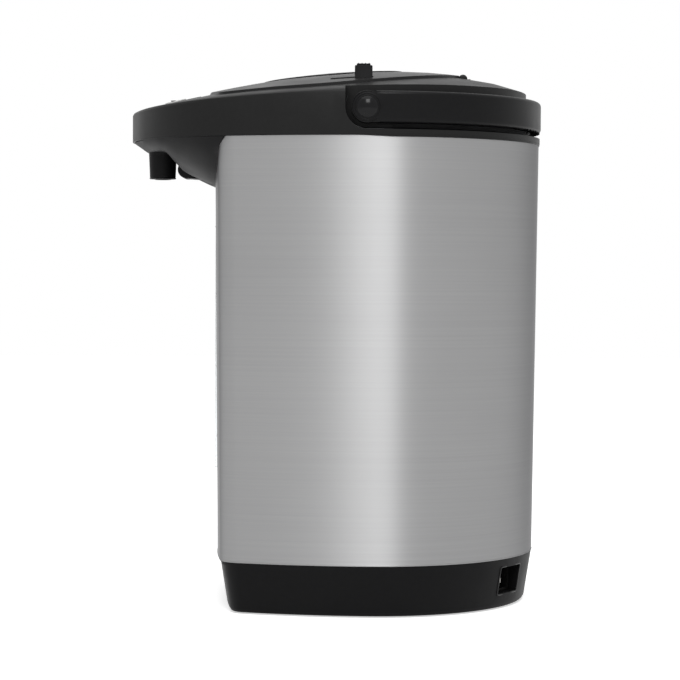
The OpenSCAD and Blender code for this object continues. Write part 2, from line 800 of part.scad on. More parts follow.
// the control panel fills the visor ahead of the lid
function panel_plan(grow) =
    let (r = 8)
    let (rear = [panel_rear - r, panel_rear_half - r], front = [panel_front + r, panel_front_half - r])
    let (turn = 90 + atan((rear[1] - front[1]) / (rear[0] - front[0])))
    both_sides(concat(
        [[panel_rear + grow, 0]],
        arc(rear, r + grow, 0, turn, 8),
        arc(front, r + grow, turn, 180, 5),
        [[panel_front - grow, 0]]
    ));

module control_panel() {
    color("#17181a")
    difference() {
        skin_solid(panel_plan(0), board_z + 6, 0.3, deck_x);
        skin_solid(panel_plan(2), board_z + 5, -1.05, deck_x);
        for (b = button_list)
            translate([deck_x + b[0], b[1], board_z]) cylinder(r = b[2] + slack, h = 40);
    }
}
module indicator_lamps() {
    color("#7fd07a")
    for (y = [-12.5, 12.5])
        translate([deck_x + 8, y, board_z + board_t]) cylinder(r = 1.5, h = 12);
}
module button(i) {
    b = button_list[i];
    translate([deck_x + b[0], b[1], 0]) {
        intersection() {
            translate([0, 0, board_z + 10]) cylinder(r = b[2], h = 30);
            translate([-deck_x - b[0], -b[1], 0])
                skin_solid([for (k = [0 : 23]) [deck_x + b[0] + 20 * cos(k * 15), b[1] + 20 * sin(k * 15)]],
                    board_z + 9, 1.4, deck_x + b[0]);
        }
        translate([0, 0, board_z + 3.6 + button_travel + 0.2]) cylinder(r = 2.2, h = 8);
    }
}
module dispense_button() {
    color("#c9402f") button(0);
}
module reboil_button() {
    color("#d9d9d6") button(1);
}
module unlock_button() {
    color("#d9d9d6") button(2);
}

// ---- spout ----------------------------------------------------------------

pad_z = shell_top - 6.3;
keel_z = shell_top - 26.5;
lever_x = -front_d - 4.5;
lever_z = keel_z + 8;
back_x = -front_d - 0.4;
bow_room = 9;       // how far the shroud is made to reach behind the front of the bowed body

module shroud_solid(inset) {
    top = shell_top + (inset > 0 ? touch : 0);
    // front part, flat underneath, that carries the nozzle
    hull() {
        intersection() {
            upright(head_plan(1.4 + inset), top - 0.6, top);
            translate([-200, -150, 0]) cube([200 + back_x + bow_room, 300, 500]);
        }
        translate([-nozzle_x - 9 + inset, -14 + inset, pad_z + inset * 0.9]) cube([18, 28 - 2 * inset, 1]);
        translate([back_x - 22, -24 + inset, pad_z + inset * 0.9]) cube([22 + bow_room, 48 - 2 * inset, 1]);
    }
    // rear part, which runs down to the front of the body
    hull() {
        intersection() {
            upright(head_plan(1.4 + inset), top - 0.6, top);
            translate([back_x - 34 + inset, -150, 0]) cube([34 + bow_room - inset, 300, 500]);
        }
        translate([back_x - 19 + inset, -20 + inset, keel_z + 8.4 + inset * 0.9])
            cube([19 + bow_room - inset, 40 - 2 * inset, 1]);
        translate([back_x - 2, -30 + inset, keel_z + inset * 0.9]) cube([2 + bow_room, 60 - 2 * inset, 1]);
    }
}
module spout_shroud() {
    color("#232426")
    difference() {
        shroud_solid(0);
        shroud_solid(2);
        // keeps to the front of the bowed body
        loft([at_z(body_plan(shell_r_low, front_d_low, -0.35), base_h),
            at_z(body_plan(shell_r, front_d, -0.35), shell_top + 1)]);
        translate([-nozzle_x, 0, pad_z - 10]) cylinder(r = nozzle_r, h = 20);
        translate([lever_x - 22, -lever_w / 2 - 0.6, keel_z - 5]) cube([24, lever_w + 1.2, 21]);
    }
    // cheeks that hold the lever's pin
    color("#232426")
    mirrored_y() difference() {
        translate([lever_x - 3.4, lever_w / 2 + 0.5, lever_z - 4]) cube([6.8, 3, 20]);
        y_rod(lever_x, lever_z, 1.5, 0, 40);
    }
}
module nozzle() {
    mouth_z = shell_top - nozzle_drop;
    color("#1c1d1f")
    translate([-nozzle_x, 0, 0])
    difference() {
        union() {
            translate([0, 0, mouth_z])
                cylinder(r1 = nozzle_r - 0.7, r2 = nozzle_r - 0.02, h = pad_z - mouth_z + touch);
            translate([0, 0, pad_z]) cylinder(r = nozzle_r - 0.02, h = 12);
        }
        translate([0, 0, mouth_z - 1]) cylinder(r = 4.5, h = pad_z - mouth_z + 8);
        translate([0, 0, pad_z + 7.8]) rotate([0, 90, 0]) cylinder(r = 3.6, h = 20);
    }
}
module spout_pipe() {
    color("#d9d9d0")
    tube([[tube_x, tube_high + 0.1], [tube_x, pipe_z - 6], [tube_x - 2.4, pipe_z - 1.5], [tube_x - 7, pipe_z],
        [tube_x - 15, pipe_z + 1], [tube_x - 23, pipe_z + 5.5], [tube_x - 29, pad_z + 7.8],
        [-nozzle_x + nozzle_r - 2.6, pad_z + 7.8]], 0, 3.5, 2.4);
}

module cup_lever() {
    color("#1c1d1f")
    difference() {
        union() {
            y_rod(lever_x - 14, keel_z + 9.6, 5.4, -lever_w / 2, lever_w / 2);
            y_rod(lever_x, lever_z, 3.2, -lever_w / 2, lever_w / 2);
            y_slab([[lever_x - 14, keel_z + 4.4], [lever_x + 1, lever_z - 4.6], [lever_x + 3, lever_z - 1],
                [lever_x + 1, lever_z + 3], [lever_x - 14, keel_z + 14]], -lever_w / 2, lever_w / 2);
        }
        y_rod(lever_x, lever_z, 1.5 + running, -lever_w, lever_w);
    }
}
module cup_lever_pin() {
    color("#b9bcc0")
    y_rod(lever_x, lever_z, 1.5, -lever_w / 2 - 3.4, lever_w / 2 + 3.4);
}
module microswitch() {
    color("#24262a")
    translate([lever_x - 8, lever_w / 2 - 5.9, lever_z + 9]) cube([12, 6.4, 6.2]);
    color("#c9402f")
    translate([lever_x - 5, lever_w / 2 - 3.9, lever_z + 8]) cube([2, 2.4, 1.1]);
}

// ---- handle ---------------------------------------------------------------

module handle() {
    half = handle_half_h;
    round_r = 2.4;
    low = pivot_z - half;
    high = pivot_z + half;
    color("#2b2c2e")
    difference() {
        union() {
            rotate([0, 0, -90]) rotate_extrude(angle = 180, $fn = 160)
                polygon(concat(
                    [[handle_in, low + 0.6], [handle_in + 0.6, low]],
                    arc([handle_out - round_r, low + round_r], round_r, -90, 0, 6),
                    arc([handle_out - round_r, high - round_r], round_r, 0, 90, 6),
                    [[handle_in + 0.6, high], [handle_in, high - 0.6]]
                ));
            mirrored_y() {
                y_rod(-pivot_x, pivot_z, half, handle_in, handle_out - 0.6);
                y_rod(-pivot_x, pivot_z, half - 0.8, handle_in, handle_out);
                translate([-pivot_x, handle_in, low + 0.4]) cube([pivot_x + 2, handle_t - 0.6, 2 * half - 0.8]);
            }
        }
        mirrored_y() y_rod(-pivot_x, pivot_z, pivot_pin_r + running, 80, handle_out - 2);
    }
}
module handle_caps() {
    cap_r = 6.4;
    dome_r = 9;
    color("#1c1d1f")
    mirrored_y() intersection() {
        translate([-pivot_x, handle_out + 2.6 - dome_r, pivot_z]) sphere(r = dome_r, $fn = 64);
        y_rod(-pivot_x, pivot_z, cap_r, handle_out, handle_out + 4);
    }
}
module handle_pins() {
    color("#b9bcc0")
    mirrored_y() y_rod(-pivot_x, pivot_z, pivot_pin_r, 89.2, handle_out - 2.4);
}

// ---- lid ------------------------------------------------------------------

lid_low = frame_top + 2.6;         // top of the seal, where the lid's base sits
slider_y = -74;
slider_x = -7.4;
slot_w = 6.4;
latch_x = -93;
latch_z = shell_top + 27;
latch_w = 30;
press_x = -26;

module lid_cover() {
    color("#2b2c2e")
    difference() {
        union() {
            difference() {
                lid_solid(0, 0);
                lid_solid(lid_wall, -lid_wall);
                press_well(slack);
                translate([vent_x, 0, shell_top]) cylinder(r = vent_r + 0.1, h = 100);
                // the hinge's room
                translate([hinge_x - 4, -31.6, shell_top]) cube([20, 63.2, 100]);
                // slot of the lock slider
                translate([slider_x - lock_travel - 5.8, slider_y - slot_w / 2, shell_top])
                    cube([lock_travel + 11.6, slot_w, 100]);
                // room for the latch
                translate([-lid_front - 5, -latch_w / 2 - 0.4, shell_top])
                    cube([lid_front + latch_x + 9.4, latch_w + 0.8, 100]);
            }
            for (k = knuckle_list) {
                y_rod(hinge_x, hinge_z, barrel_r, k[0], k[1]);
                translate([hinge_x - 6, k[0], hinge_z - 0.4]) cube([6, k[1] - k[0], 2.6]);
            }
            // ears that hold the latch's pin
            mirrored_y() hull() {
                y_rod(latch_x, latch_z, 3, latch_w / 2 + 0.5, latch_w / 2 + 3);
                translate([latch_x - 3, latch_w / 2 + 0.5, skin_z(latch_x, latch_w / 2) - 1])
                    cube([6, 2.5, 1]);
            }
        }
        y_rod(hinge_x, hinge_z, hinge_pin_r + running, -40, 40);
        y_rod(latch_x, latch_z, 1, -latch_w, latch_w);
    }
}
// the lid's outer form: a domed plate with a short skirt that follows its edge
module lid_solid(inset, lift) {
    plan = lid_plan(-inset);
    loft(concat(
        [on_skin(shrink(plan, 0.04, -lid_x), lid_step - lid_skirt + lift * 2.5)],
        [on_skin(shrink(plan, 0.6, -lid_x), lid_step - lid_skirt + lift * 2.5)],
        [on_skin(plan, lid_step - lid_skirt + lift * 2.5)],
        [on_skin(plan, lid_step + lift)],
        [for (share = [0.92, 0.8, 0.64, 0.44, 0.22, 0.04])
            on_skin(shrink(plan, share, -lid_x), lid_step + lift)]
    ));
}
module press_well(grow) {
    translate([press_x, 0, shell_top]) cylinder(r = press_r + grow, h = 100, $fn = 120);
}

module lid_base() {
    base_r = mouth_r + 9;
    color("#3a3b3e")
    difference() {
        union() {
            translate([-mouth_x, 0, lid_low]) cylinder(r = base_r, h = 3, $fn = 120);
            // plug that dips into the mouth
            translate([-mouth_x, 0, lid_low - 9.6])
                cylinder(r1 = mouth_r - 7, r2 = mouth_r - 5, h = 9.7, $fn = 120);
            // columns that the cover stands on
            for (p = column_list)
                intersection() {
                    translate([p[0], p[1], lid_low + 1]) cylinder(r = 3.6, h = 60);
                    lid_solid_low(p);
                }
        }
        translate([-mouth_x, 0, lid_low - 6]) cylinder(r = mouth_r - 8, h = 12, $fn = 120);
        translate([-mouth_x - 30, 0, lid_low - 20]) cylinder(r = 5, h = 30);
        translate([-mouth_x + 30, 0, lid_low - 20]) cylinder(r = 5, h = 30);
    }
}
column_list = [[-78, 0], [-16, 64], [-16, -64], [40, 32], [40, -32]];
module lid_solid_low(p) {
    skin_solid([for (k = [0 : 23]) [p[0] + 8 * cos(k * 15), p[1] + 8 * sin(k * 15)]],
        lid_low, lid_step - lid_wall - 0.15, p[0]);
}
module lid_seal() {
    color("#c9c9c4")
    translate([-mouth_x, 0, frame_top]) ring(mouth_r + 6, mouth_r + 1, lid_low - frame_top);
}
vent_x = 34;
vent_r = 8;
module steam_vent() {
    color("#1c1d1f")
    difference() {
        intersection() {
            translate([vent_x, 0, lid_low + 3]) cylinder(r = vent_r, h = 60);
            skin_solid([for (k = [0 : 23]) [vent_x + 12 * cos(k * 15), 12 * sin(k * 15)]],
                lid_low + 3, lid_step + 0.3, vent_x);
        }
        for (y = [-4.5, -1.5, 1.5, 4.5])
            translate([vent_x - 5, y - 0.6, dome_z - 3]) cube([10, 1.2, 10]);
        translate([vent_x, 0, lid_low + 2]) cylinder(r = vent_r - 2, h = dome_z - lid_low - 7);
    }
}
module press_plate() {
    color("#232426")
    difference() {
        intersection() {
            translate([press_x, 0, shell_top]) cylinder(r = press_r, h = 80, $fn = 120);
            press_skin(lid_step + 0.6, press_low);
        }
        intersection() {
            translate([press_x, 0, shell_top]) cylinder(r = press_r - 2, h = 80, $fn = 120);
            press_skin(lid_step - 2.4, press_low - 1);
        }
    }
}
press_low = dome_z - press_travel - 4;
module press_skin(lift, low) {
    skin_solid([for (k = [0 : 35]) [press_x + 52 * cos(k * 10), 52 * sin(k * 10)]], low, lift, press_x);
}
bellows_r = 34;
bellows_top = dome_z - 7;
module bellows() {
    folds = 5;
    low = lid_low + 0.1 - 6;
    pitch = (bellows_top - low) / folds;
    color("#d0d0c8")
    translate([press_x, 0, low])
    rotate_extrude($fn = 96)
        polygon(concat(
            [for (i = [0 : 2 * folds]) [bellows_r - (i % 2 == 0 ? 0 : 4), i * pitch / 2]],
            [for (i = [2 * folds : -1 : 0]) [bellows_r - 1.6 - (i % 2 == 0 ? 0 : 4), i * pitch / 2]]
        ));
}
module bellows_spring() {
    turns = 6;
    wire_r = 0.7;
    coil_r = 20;
    low = lid_low - 6 + wire_r + 0.3;
    high = bellows_top - wire_r - 0.3;
    color("#b9bcc0")
    loft([for (i = [0 : turns * 18])
        let (a = i * 20)
        let (z = low + (high - low) * i / (turns * 18))
        [for (j = [0 : 5]) let (w = -j * 60)
            let (r = coil_r + wire_r * cos(w))
            [press_x + r * cos(a), r * sin(a), z + wire_r * sin(w)]]
    ]);
}

module lock_slider() {
    foot_z = skin_z(slider_x, slider_y) + lid_step - lid_wall - 1.4;
    color("#1f2022")
    union() {
        translate([slider_x - 5.3, slider_y - slot_w / 2 + slack, foot_z - touch]) {
            cube([10.6, slot_w - 2 * slack, 10.4]);
            translate([1.2, 0.8, 10.3]) cube([8.2, slot_w - 2 * slack - 1.6, 1.2]);
        }
        translate([slider_x - 8, slider_y - 4.6, foot_z - 2.9]) cube([16, 9.2, 1.4]);
        translate([slider_x - 5.3, slider_y - slot_w / 2 + slack, foot_z - 1.8])
            cube([10.6, slot_w - 2 * slack, 2]);
    }
}

module lid_latch() {
    top = skin_z(-lid_front, 0) + lid_step;
    color("#1c1d1f")
    difference() {
        union() {
            y_rod(latch_x, latch_z, 2.6, -latch_w / 2, latch_w / 2);
            y_slab([[-lid_front + 0.2, top - 2.4], [-lid_front + 0.2, top - 0.4], [latch_x + 3, top + 2.2],
                [latch_x + 3, latch_z], [latch_x - 2, latch_z - 1]], -latch_w / 2, latch_w / 2);
            // hook
            y_slab([[latch_x - 2.6, latch_z], [latch_x, latch_z - 2], [latch_x - 2.6, frame_top + 8],
                [latch_x - 6.6, frame_top + 8], [latch_x - 6.6, frame_top + 10], [latch_x - 4.6, frame_top + 10.6]],
                -6, 6);
        }
        y_rod(latch_x, latch_z, 1 + running, -latch_w, latch_w);
    }
}
module latch_pin() {
    color("#b9bcc0")
    y_rod(latch_x, latch_z, 1, -latch_w / 2 - 2.9, latch_w / 2 + 2.9);
}
module latch_catch() {
    color("#b9bcc0")
    translate([-lid_front - lid_gap + 0.2, -9, frame_top + 10.9])
        cube([lid_front + lid_gap + latch_x - 5.4, 18, 1.4]);
}
module hinge_pin() {
    color("#b9bcc0")
    y_rod(hinge_x, hinge_z, hinge_pin_r, -31.2, 31.2);
}

rubber_feet();
bottom_cover();
base_screws();
base_housing();
inlet_socket();
inlet_pins();
outer_shell();
front_panel();
level_window();
level_tube();
inner_pot();
pot_seal();
insulation_sleeve();
heating_plate();
keep_warm_band();
thermostat();
thermal_fuse();
heat_shield();
pump_housing();
pump_cover();
pump_impeller();
pump_motor();
suction_hose();
delivery_hose();
spout_pipe();
power_board();
control_board();
microswitch();
head_frame();
head_cover();
head_screws();
spout_shroud();
nozzle();
control_panel();
indicator_lamps();
dispense_button();
reboil_button();
unlock_button();
cup_lever();
cup_lever_pin();
handle();
handle_caps();
handle_pins();
hinge_pin();
latch_catch();
lid_cover();
lid_base();
lid_seal();
steam_vent();
press_plate();
bellows();
bellows_spring();
lock_slider();
lid_latch();
latch_pin();
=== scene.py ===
import bpy
import bmesh
import math
from mathutils import Matrix, Vector


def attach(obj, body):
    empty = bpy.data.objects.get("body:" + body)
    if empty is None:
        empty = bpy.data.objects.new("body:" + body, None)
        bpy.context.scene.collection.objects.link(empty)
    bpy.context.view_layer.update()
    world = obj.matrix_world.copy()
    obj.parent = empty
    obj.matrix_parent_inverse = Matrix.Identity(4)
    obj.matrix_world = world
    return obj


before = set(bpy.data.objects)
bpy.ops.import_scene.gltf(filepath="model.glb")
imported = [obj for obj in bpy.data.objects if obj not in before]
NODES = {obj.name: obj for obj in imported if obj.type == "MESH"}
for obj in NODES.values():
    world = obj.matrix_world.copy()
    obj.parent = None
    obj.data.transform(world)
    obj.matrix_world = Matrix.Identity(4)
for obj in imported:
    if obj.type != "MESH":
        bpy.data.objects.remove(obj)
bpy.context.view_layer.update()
MM = 0.001

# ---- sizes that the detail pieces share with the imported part, in millimetres ----

BASE_H, SHELL_H = 31.2, 255.1
SHELL_TOP = BASE_H + SHELL_H
SHELL_R, SHELL_R_LOW = 104.1, 101.3
FRONT_D, FRONT_D_LOW = 99.5, 97.2
FRONT_BOW_R, CORNER_R = 600.0, 16.0
HEAD_R, VISOR_R, VISOR_X = 104.7, 92.7, 59.6
DOME_Z, DOME_X = SHELL_TOP + 43.3, 15.0
TIP_BAND_H, REAR_RISE, RISE_FROM = 17.8, 10.2, 60
LID_FRONT, LID_STEP = 103.2, 1.4
PRESS_X = -26.0
SLIDER_X, SLIDER_Y, SLIDER_TAB = -7.4, -74.0, 7.9
PIVOT, RECESS_R, CAP_R = (-5.3, SHELL_TOP + 16.3), 13.1, 7.7
COLLAR_R, HANDLE_IN, HANDLE_OUT, HANDLE_HALF = 95.9, 97.5, 105.3, 9.5
LEDGE_Z, COLLAR_H = SHELL_TOP + 4.2, 23.6
NOZZLE_X, NOZZLE_R, NOZZLE_BORE_R, NOZZLE_DROP = 133.6, 8.8, 5.0, 22.6
HINGE, HINGE_R, HINGE_END = (54.5, DOME_Z - 4.4), 2.75, 31.0
INLET_ANGLE, INLET_Z, INLET_W, INLET_H = -32.0, 17.6, 24.0, 16.4
BASE_STEP, BASE_DRAW = 0.1, 5.0
FOOT_CIRCLE, FOOT_R, COVER_Z = 68.0, 9.0, 0.6
WINDOW_LOW, WINDOW_HIGH, WINDOW_W, TUBE_IN = BASE_H + 50, SHELL_TOP - 42, 9.0, 9.3
POT_X, POT_R, POT_FLOOR, LITRE_H = 6.0, 86.0, BASE_H + 26.8, 43.9
OUTLET_X = -34
DECK_X = -(LID_FRONT + 4 + VISOR_X + VISOR_R - 12) / 2
BUTTONS = {"dispense_button": (0, 9.0), "reboil_button": (-25, 6.5), "unlock_button": (25, 6.5)}
LAMPS = [(DECK_X + 8, -12.5), (DECK_X + 8, 12.5)]
SIDE_FROM = 92.0
SIDE_DROP = HEAD_R - VISOR_R

# how fast the dome falls ahead of its crest and behind it: square laws, straight or steeper past a distance
AHEAD_FALL, AHEAD_TO, AHEAD_SLOPE = 0.00103, 118, 0.245
REAR_FALL, REAR_FROM, REAR_MORE = 0.00158, 50, 0.0022


def polar(centre, r, a):
    return (centre[0] + r * math.cos(math.radians(a)), centre[1] + r * math.sin(math.radians(a)))


def arc(centre, r, a, b, n):
    return [polar(centre, r, a + (b - a) * i / n) for i in range(n + 1)]


def full_turn(n):
    """Angles in radians of n even steps round a circle."""
    return [2 * math.pi * i / n for i in range(n)]


SIDE_R = HEAD_R + (VISOR_X ** 2 - SIDE_DROP ** 2) / (
    2 * SIDE_DROP - 2 * VISOR_X * math.sin(math.radians(SIDE_FROM - 90)))
SIDE_C = polar((0, 0), HEAD_R - SIDE_R, SIDE_FROM)
SIDE_TO = math.degrees(math.atan2(-SIDE_C[1], -VISOR_X - SIDE_C[0]))


def both_sides(half):
    return half + [(x, -y) for x, y in reversed(half[1:-1])]


def body_plan(r, front, inset=0.0):
    """Outline of the body at one height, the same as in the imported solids."""
    rear, corner_r, bow_r = r - inset, CORNER_R - inset, FRONT_BOW_R - inset
    slow = SIDE_R + rear - HEAD_R
    p, q = Vector(SIDE_C), Vector((bow_r - front + inset, 0))
    d = (q - p).length
    u = (q - p) / d
    r_p, r_q = slow - corner_r, bow_r - corner_r
    along = (d * d + r_p * r_p - r_q * r_q) / (2 * d)
    corner = p + u * along + math.sqrt(r_p * r_p - along * along) * Vector((-u.y, u.x))
    start = math.degrees(math.atan2(*(corner - p).yx))
    stop = math.degrees(math.atan2(*(corner - q).yx))
    return both_sides(arc((0, 0), rear, 0, SIDE_FROM, 40) + arc(SIDE_C, slow, SIDE_FROM, start, 12)[1:]
                      + arc(corner, corner_r, start, stop, 12)[1:] + arc(q, bow_r, stop, 180, 8)[1:])


def head_half_w(x):
    """Half the width of the head at a place along X."""
    if x > HEAD_R * math.cos(math.radians(SIDE_FROM)):
        return math.sqrt(max(0.0, HEAD_R ** 2 - x * x))
    if x > VISOR_R * math.cos(math.radians(SIDE_TO)) - VISOR_X:
        return SIDE_C[1] + math.sqrt(SIDE_R ** 2 - (x - SIDE_C[0]) ** 2)
    return math.sqrt(max(0.0, VISOR_R ** 2 - (x + VISOR_X) ** 2))


def skin_z(x, y):
    """Height of the head's domed surface."""
    ahead = max(0.0, RISE_FROM - x) / (RISE_FROM + VISOR_X + VISOR_R)
    edge = SHELL_TOP + TIP_BAND_H + REAR_RISE * (1 - ahead * ahead)
    d = x - DOME_X
    drop = AHEAD_FALL * min(-d, AHEAD_TO) ** 2 + AHEAD_SLOPE * max(0.0, -d - AHEAD_TO)
    if d > 0:
        drop = REAR_FALL * d * d + REAR_MORE * max(0.0, d - REAR_FROM) ** 2
    crest = max(edge, DOME_Z - drop)
    share = min(1.0, abs(y) / max(0.1, head_half_w(x)))
    return crest - (crest - edge) * share * share


# ---- materials ----------------------------------------------------------------


class Nodes:
    """Short calls for building a node tree."""

    def __init__(self, name):
        old = bpy.data.materials.get(name)
        self.mat = old or bpy.data.materials.new(name)
        self.mat.use_nodes = True
        self.tree = self.mat.node_tree
        self.tree.nodes.clear()
        self.out = self.add("ShaderNodeOutputMaterial")
        self.bsdf = self.add("ShaderNodeBsdfPrincipled")
        self.link(self.bsdf, "BSDF", self.out, "Surface")
        self.coord = self.add("ShaderNodeTexCoord")

    def add(self, kind, **values):
        node = self.tree.nodes.new(kind)
        for key, value in values.items():
            if key in node.inputs:
                node.inputs[key].default_value = value
            else:
                setattr(node, key, value)
        return node

    def link(self, a, a_out, b, b_in):
        self.tree.links.new(a.outputs[a_out], b.inputs[b_in])

    def noise(self, scale, detail=3.0, roughness=0.5, stretch=None):
        node = self.add("ShaderNodeTexNoise", Scale=scale, Detail=detail, Roughness=roughness)
        if stretch:
            mapping = self.add("ShaderNodeMapping")
            mapping.inputs["Scale"].default_value = stretch
            self.link(self.coord, "Object", mapping, "Vector")
            self.link(mapping, "Vector", node, "Vector")
        else:
            self.link(self.coord, "Object", node, "Vector")
        return node

    def spread(self, source, low, high, out="Fac"):
        """Maps a noise's middle range to a pair of values."""
        node = self.add("ShaderNodeMapRange")
        node.inputs["From Min"].default_value = 0.3
        node.inputs["From Max"].default_value = 0.7
        node.inputs["To Min"].default_value = low
        node.inputs["To Max"].default_value = high
        self.link(source, out, node, "Value")
        return node

    def tint(self, source, dark, light, out="Fac"):
        """Maps the same range to a pair of colours."""
        node = self.add("ShaderNodeValToRGB")
        node.color_ramp.elements[0].position = 0.3
        node.color_ramp.elements[1].position = 0.7
        node.color_ramp.elements[0].color = (*dark, 1)
        node.color_ramp.elements[1].color = (*light, 1)
        self.link(source, out, node, "Fac")
        return node

    def bump(self, source, strength, distance, out="Fac"):
        node = self.add("ShaderNodeBump", Strength=strength, Distance=distance)
        self.link(source, out, node, "Height")
        return node

    def finish(self, colour, rough, normal=None, **constants):
        self.link(colour, "Color", self.bsdf, "Base Color")
        self.link(rough, "Result", self.bsdf, "Roughness")
        if normal:
            self.link(normal, "Normal", self.bsdf, "Normal")
        for key, value in constants.items():
            self.bsdf.inputs[key.replace("_", " ")].default_value = value
        return self.mat


def scaled(colour, k):
    return tuple(min(1.0, c * k) for c in colour)


def plastic(name, colour, rough=0.4, spec=0.25, grain=2600, depth=0.00002, spread=0.12, **more):
    """Moulded plastic: fine spark-eroded grain, slow waves in the gloss and a little unevenness of colour."""
    n = Nodes(name)
    fine = n.noise(grain, 2.0, 0.6)
    slow = n.noise(38, 3.0)
    mottle = n.noise(420, 4.0, 0.65)
    colour_node = n.tint(mottle, scaled(colour, 1 - spread), scaled(colour, 1 + spread))
    rough_node = n.spread(slow, rough - 0.05, rough + 0.05)
    normal = n.bump(fine, 0.35, depth)
    return n.finish(colour_node, rough_node, normal, Specular_IOR_Level=spec, **more)


def metal(name, colour, rough=0.3, stretch=None, depth=0.000004):
    """Plain metal: fine lines, drawn out where a stretch is given, and a faint unevenness of colour."""
    n = Nodes(name)
    lines = n.noise(900, 4.0, 0.6, stretch)
    mottle = n.noise(160, 3.0)
    colour_node = n.tint(mottle, scaled(colour, 0.93), scaled(colour, 1.05))
    rough_node = n.spread(lines, rough - 0.06, rough + 0.06)
    normal = n.bump(lines, 0.3, depth)
    return n.finish(colour_node, rough_node, normal, Metallic=1.0)


def brushed_steel(name, colour, rough, aniso, rotation):
    """Steel brushed round the body: hair-fine level scratches over a faint slow unevenness."""
    n = Nodes(name)
    hair = n.noise(1.0, 5.0, 0.7, (14, 14, 5200))
    streak = n.noise(1.0, 4.0, 0.6, (5, 5, 900))
    cloud = n.noise(9, 3.0)
    mix = n.add("ShaderNodeMix", data_type="FLOAT")
    mix.inputs[0].default_value = 0.5
    n.link(hair, "Fac", mix, 2)
    n.link(streak, "Fac", mix, 3)
    colour_node = n.tint(mix, scaled(colour, 0.955), scaled(colour, 1.045), out=0)
    rough_node = n.spread(cloud, rough - 0.015, rough + 0.015)
    normal = n.bump(hair, 0.12, 0.000006)
    tangent = n.add("ShaderNodeTangent", direction_type="RADIAL", axis="Z")
    n.link(tangent, "Tangent", n.bsdf, "Tangent")
    return n.finish(colour_node, rough_node, normal, Metallic=1.0, Anisotropic=aniso,
                    Anisotropic_Rotation=rotation, Specular_Tint=STEEL_EDGE)


def rubber(name, colour):
    n = Nodes(name)
    fine = n.noise(1500, 4.0, 0.7)
    slow = n.noise(90, 3.0)
    return n.finish(n.tint(slow, scaled(colour, 0.8), scaled(colour, 1.25)), n.spread(fine, 0.68, 0.85),
                    n.bump(fine, 0.4, 0.00003), Specular_IOR_Level=0.2)


def clear(name, colour, rough=0.08):
    n = Nodes(name)
    slow = n.noise(60, 3.0)
    return n.finish(n.tint(slow, scaled(colour, 0.96), colour), n.spread(slow, rough, rough + 0.04),
                    n.bump(slow, 0.05, 0.0001), Transmission_Weight=0.9, IOR=1.49)


def weave(name, colour):
    """Glass-fibre sleeve or board: fine crossed threads."""
    n = Nodes(name)
    a = n.noise(1.0, 2.0, 0.5, (2600, 2600, 240))
    b = n.noise(1.0, 2.0, 0.5, (240, 240, 2600))
    mix = n.add("ShaderNodeMix", data_type="FLOAT")
    mix.inputs[0].default_value = 0.5
    n.link(a, "Fac", mix, 2)
    n.link(b, "Fac", mix, 3)
    return n.finish(n.tint(mix, scaled(colour, 0.75), scaled(colour, 1.15), out=0), n.spread(a, 0.6, 0.85),
                    n.bump(mix, 0.5, 0.00008, out=0))


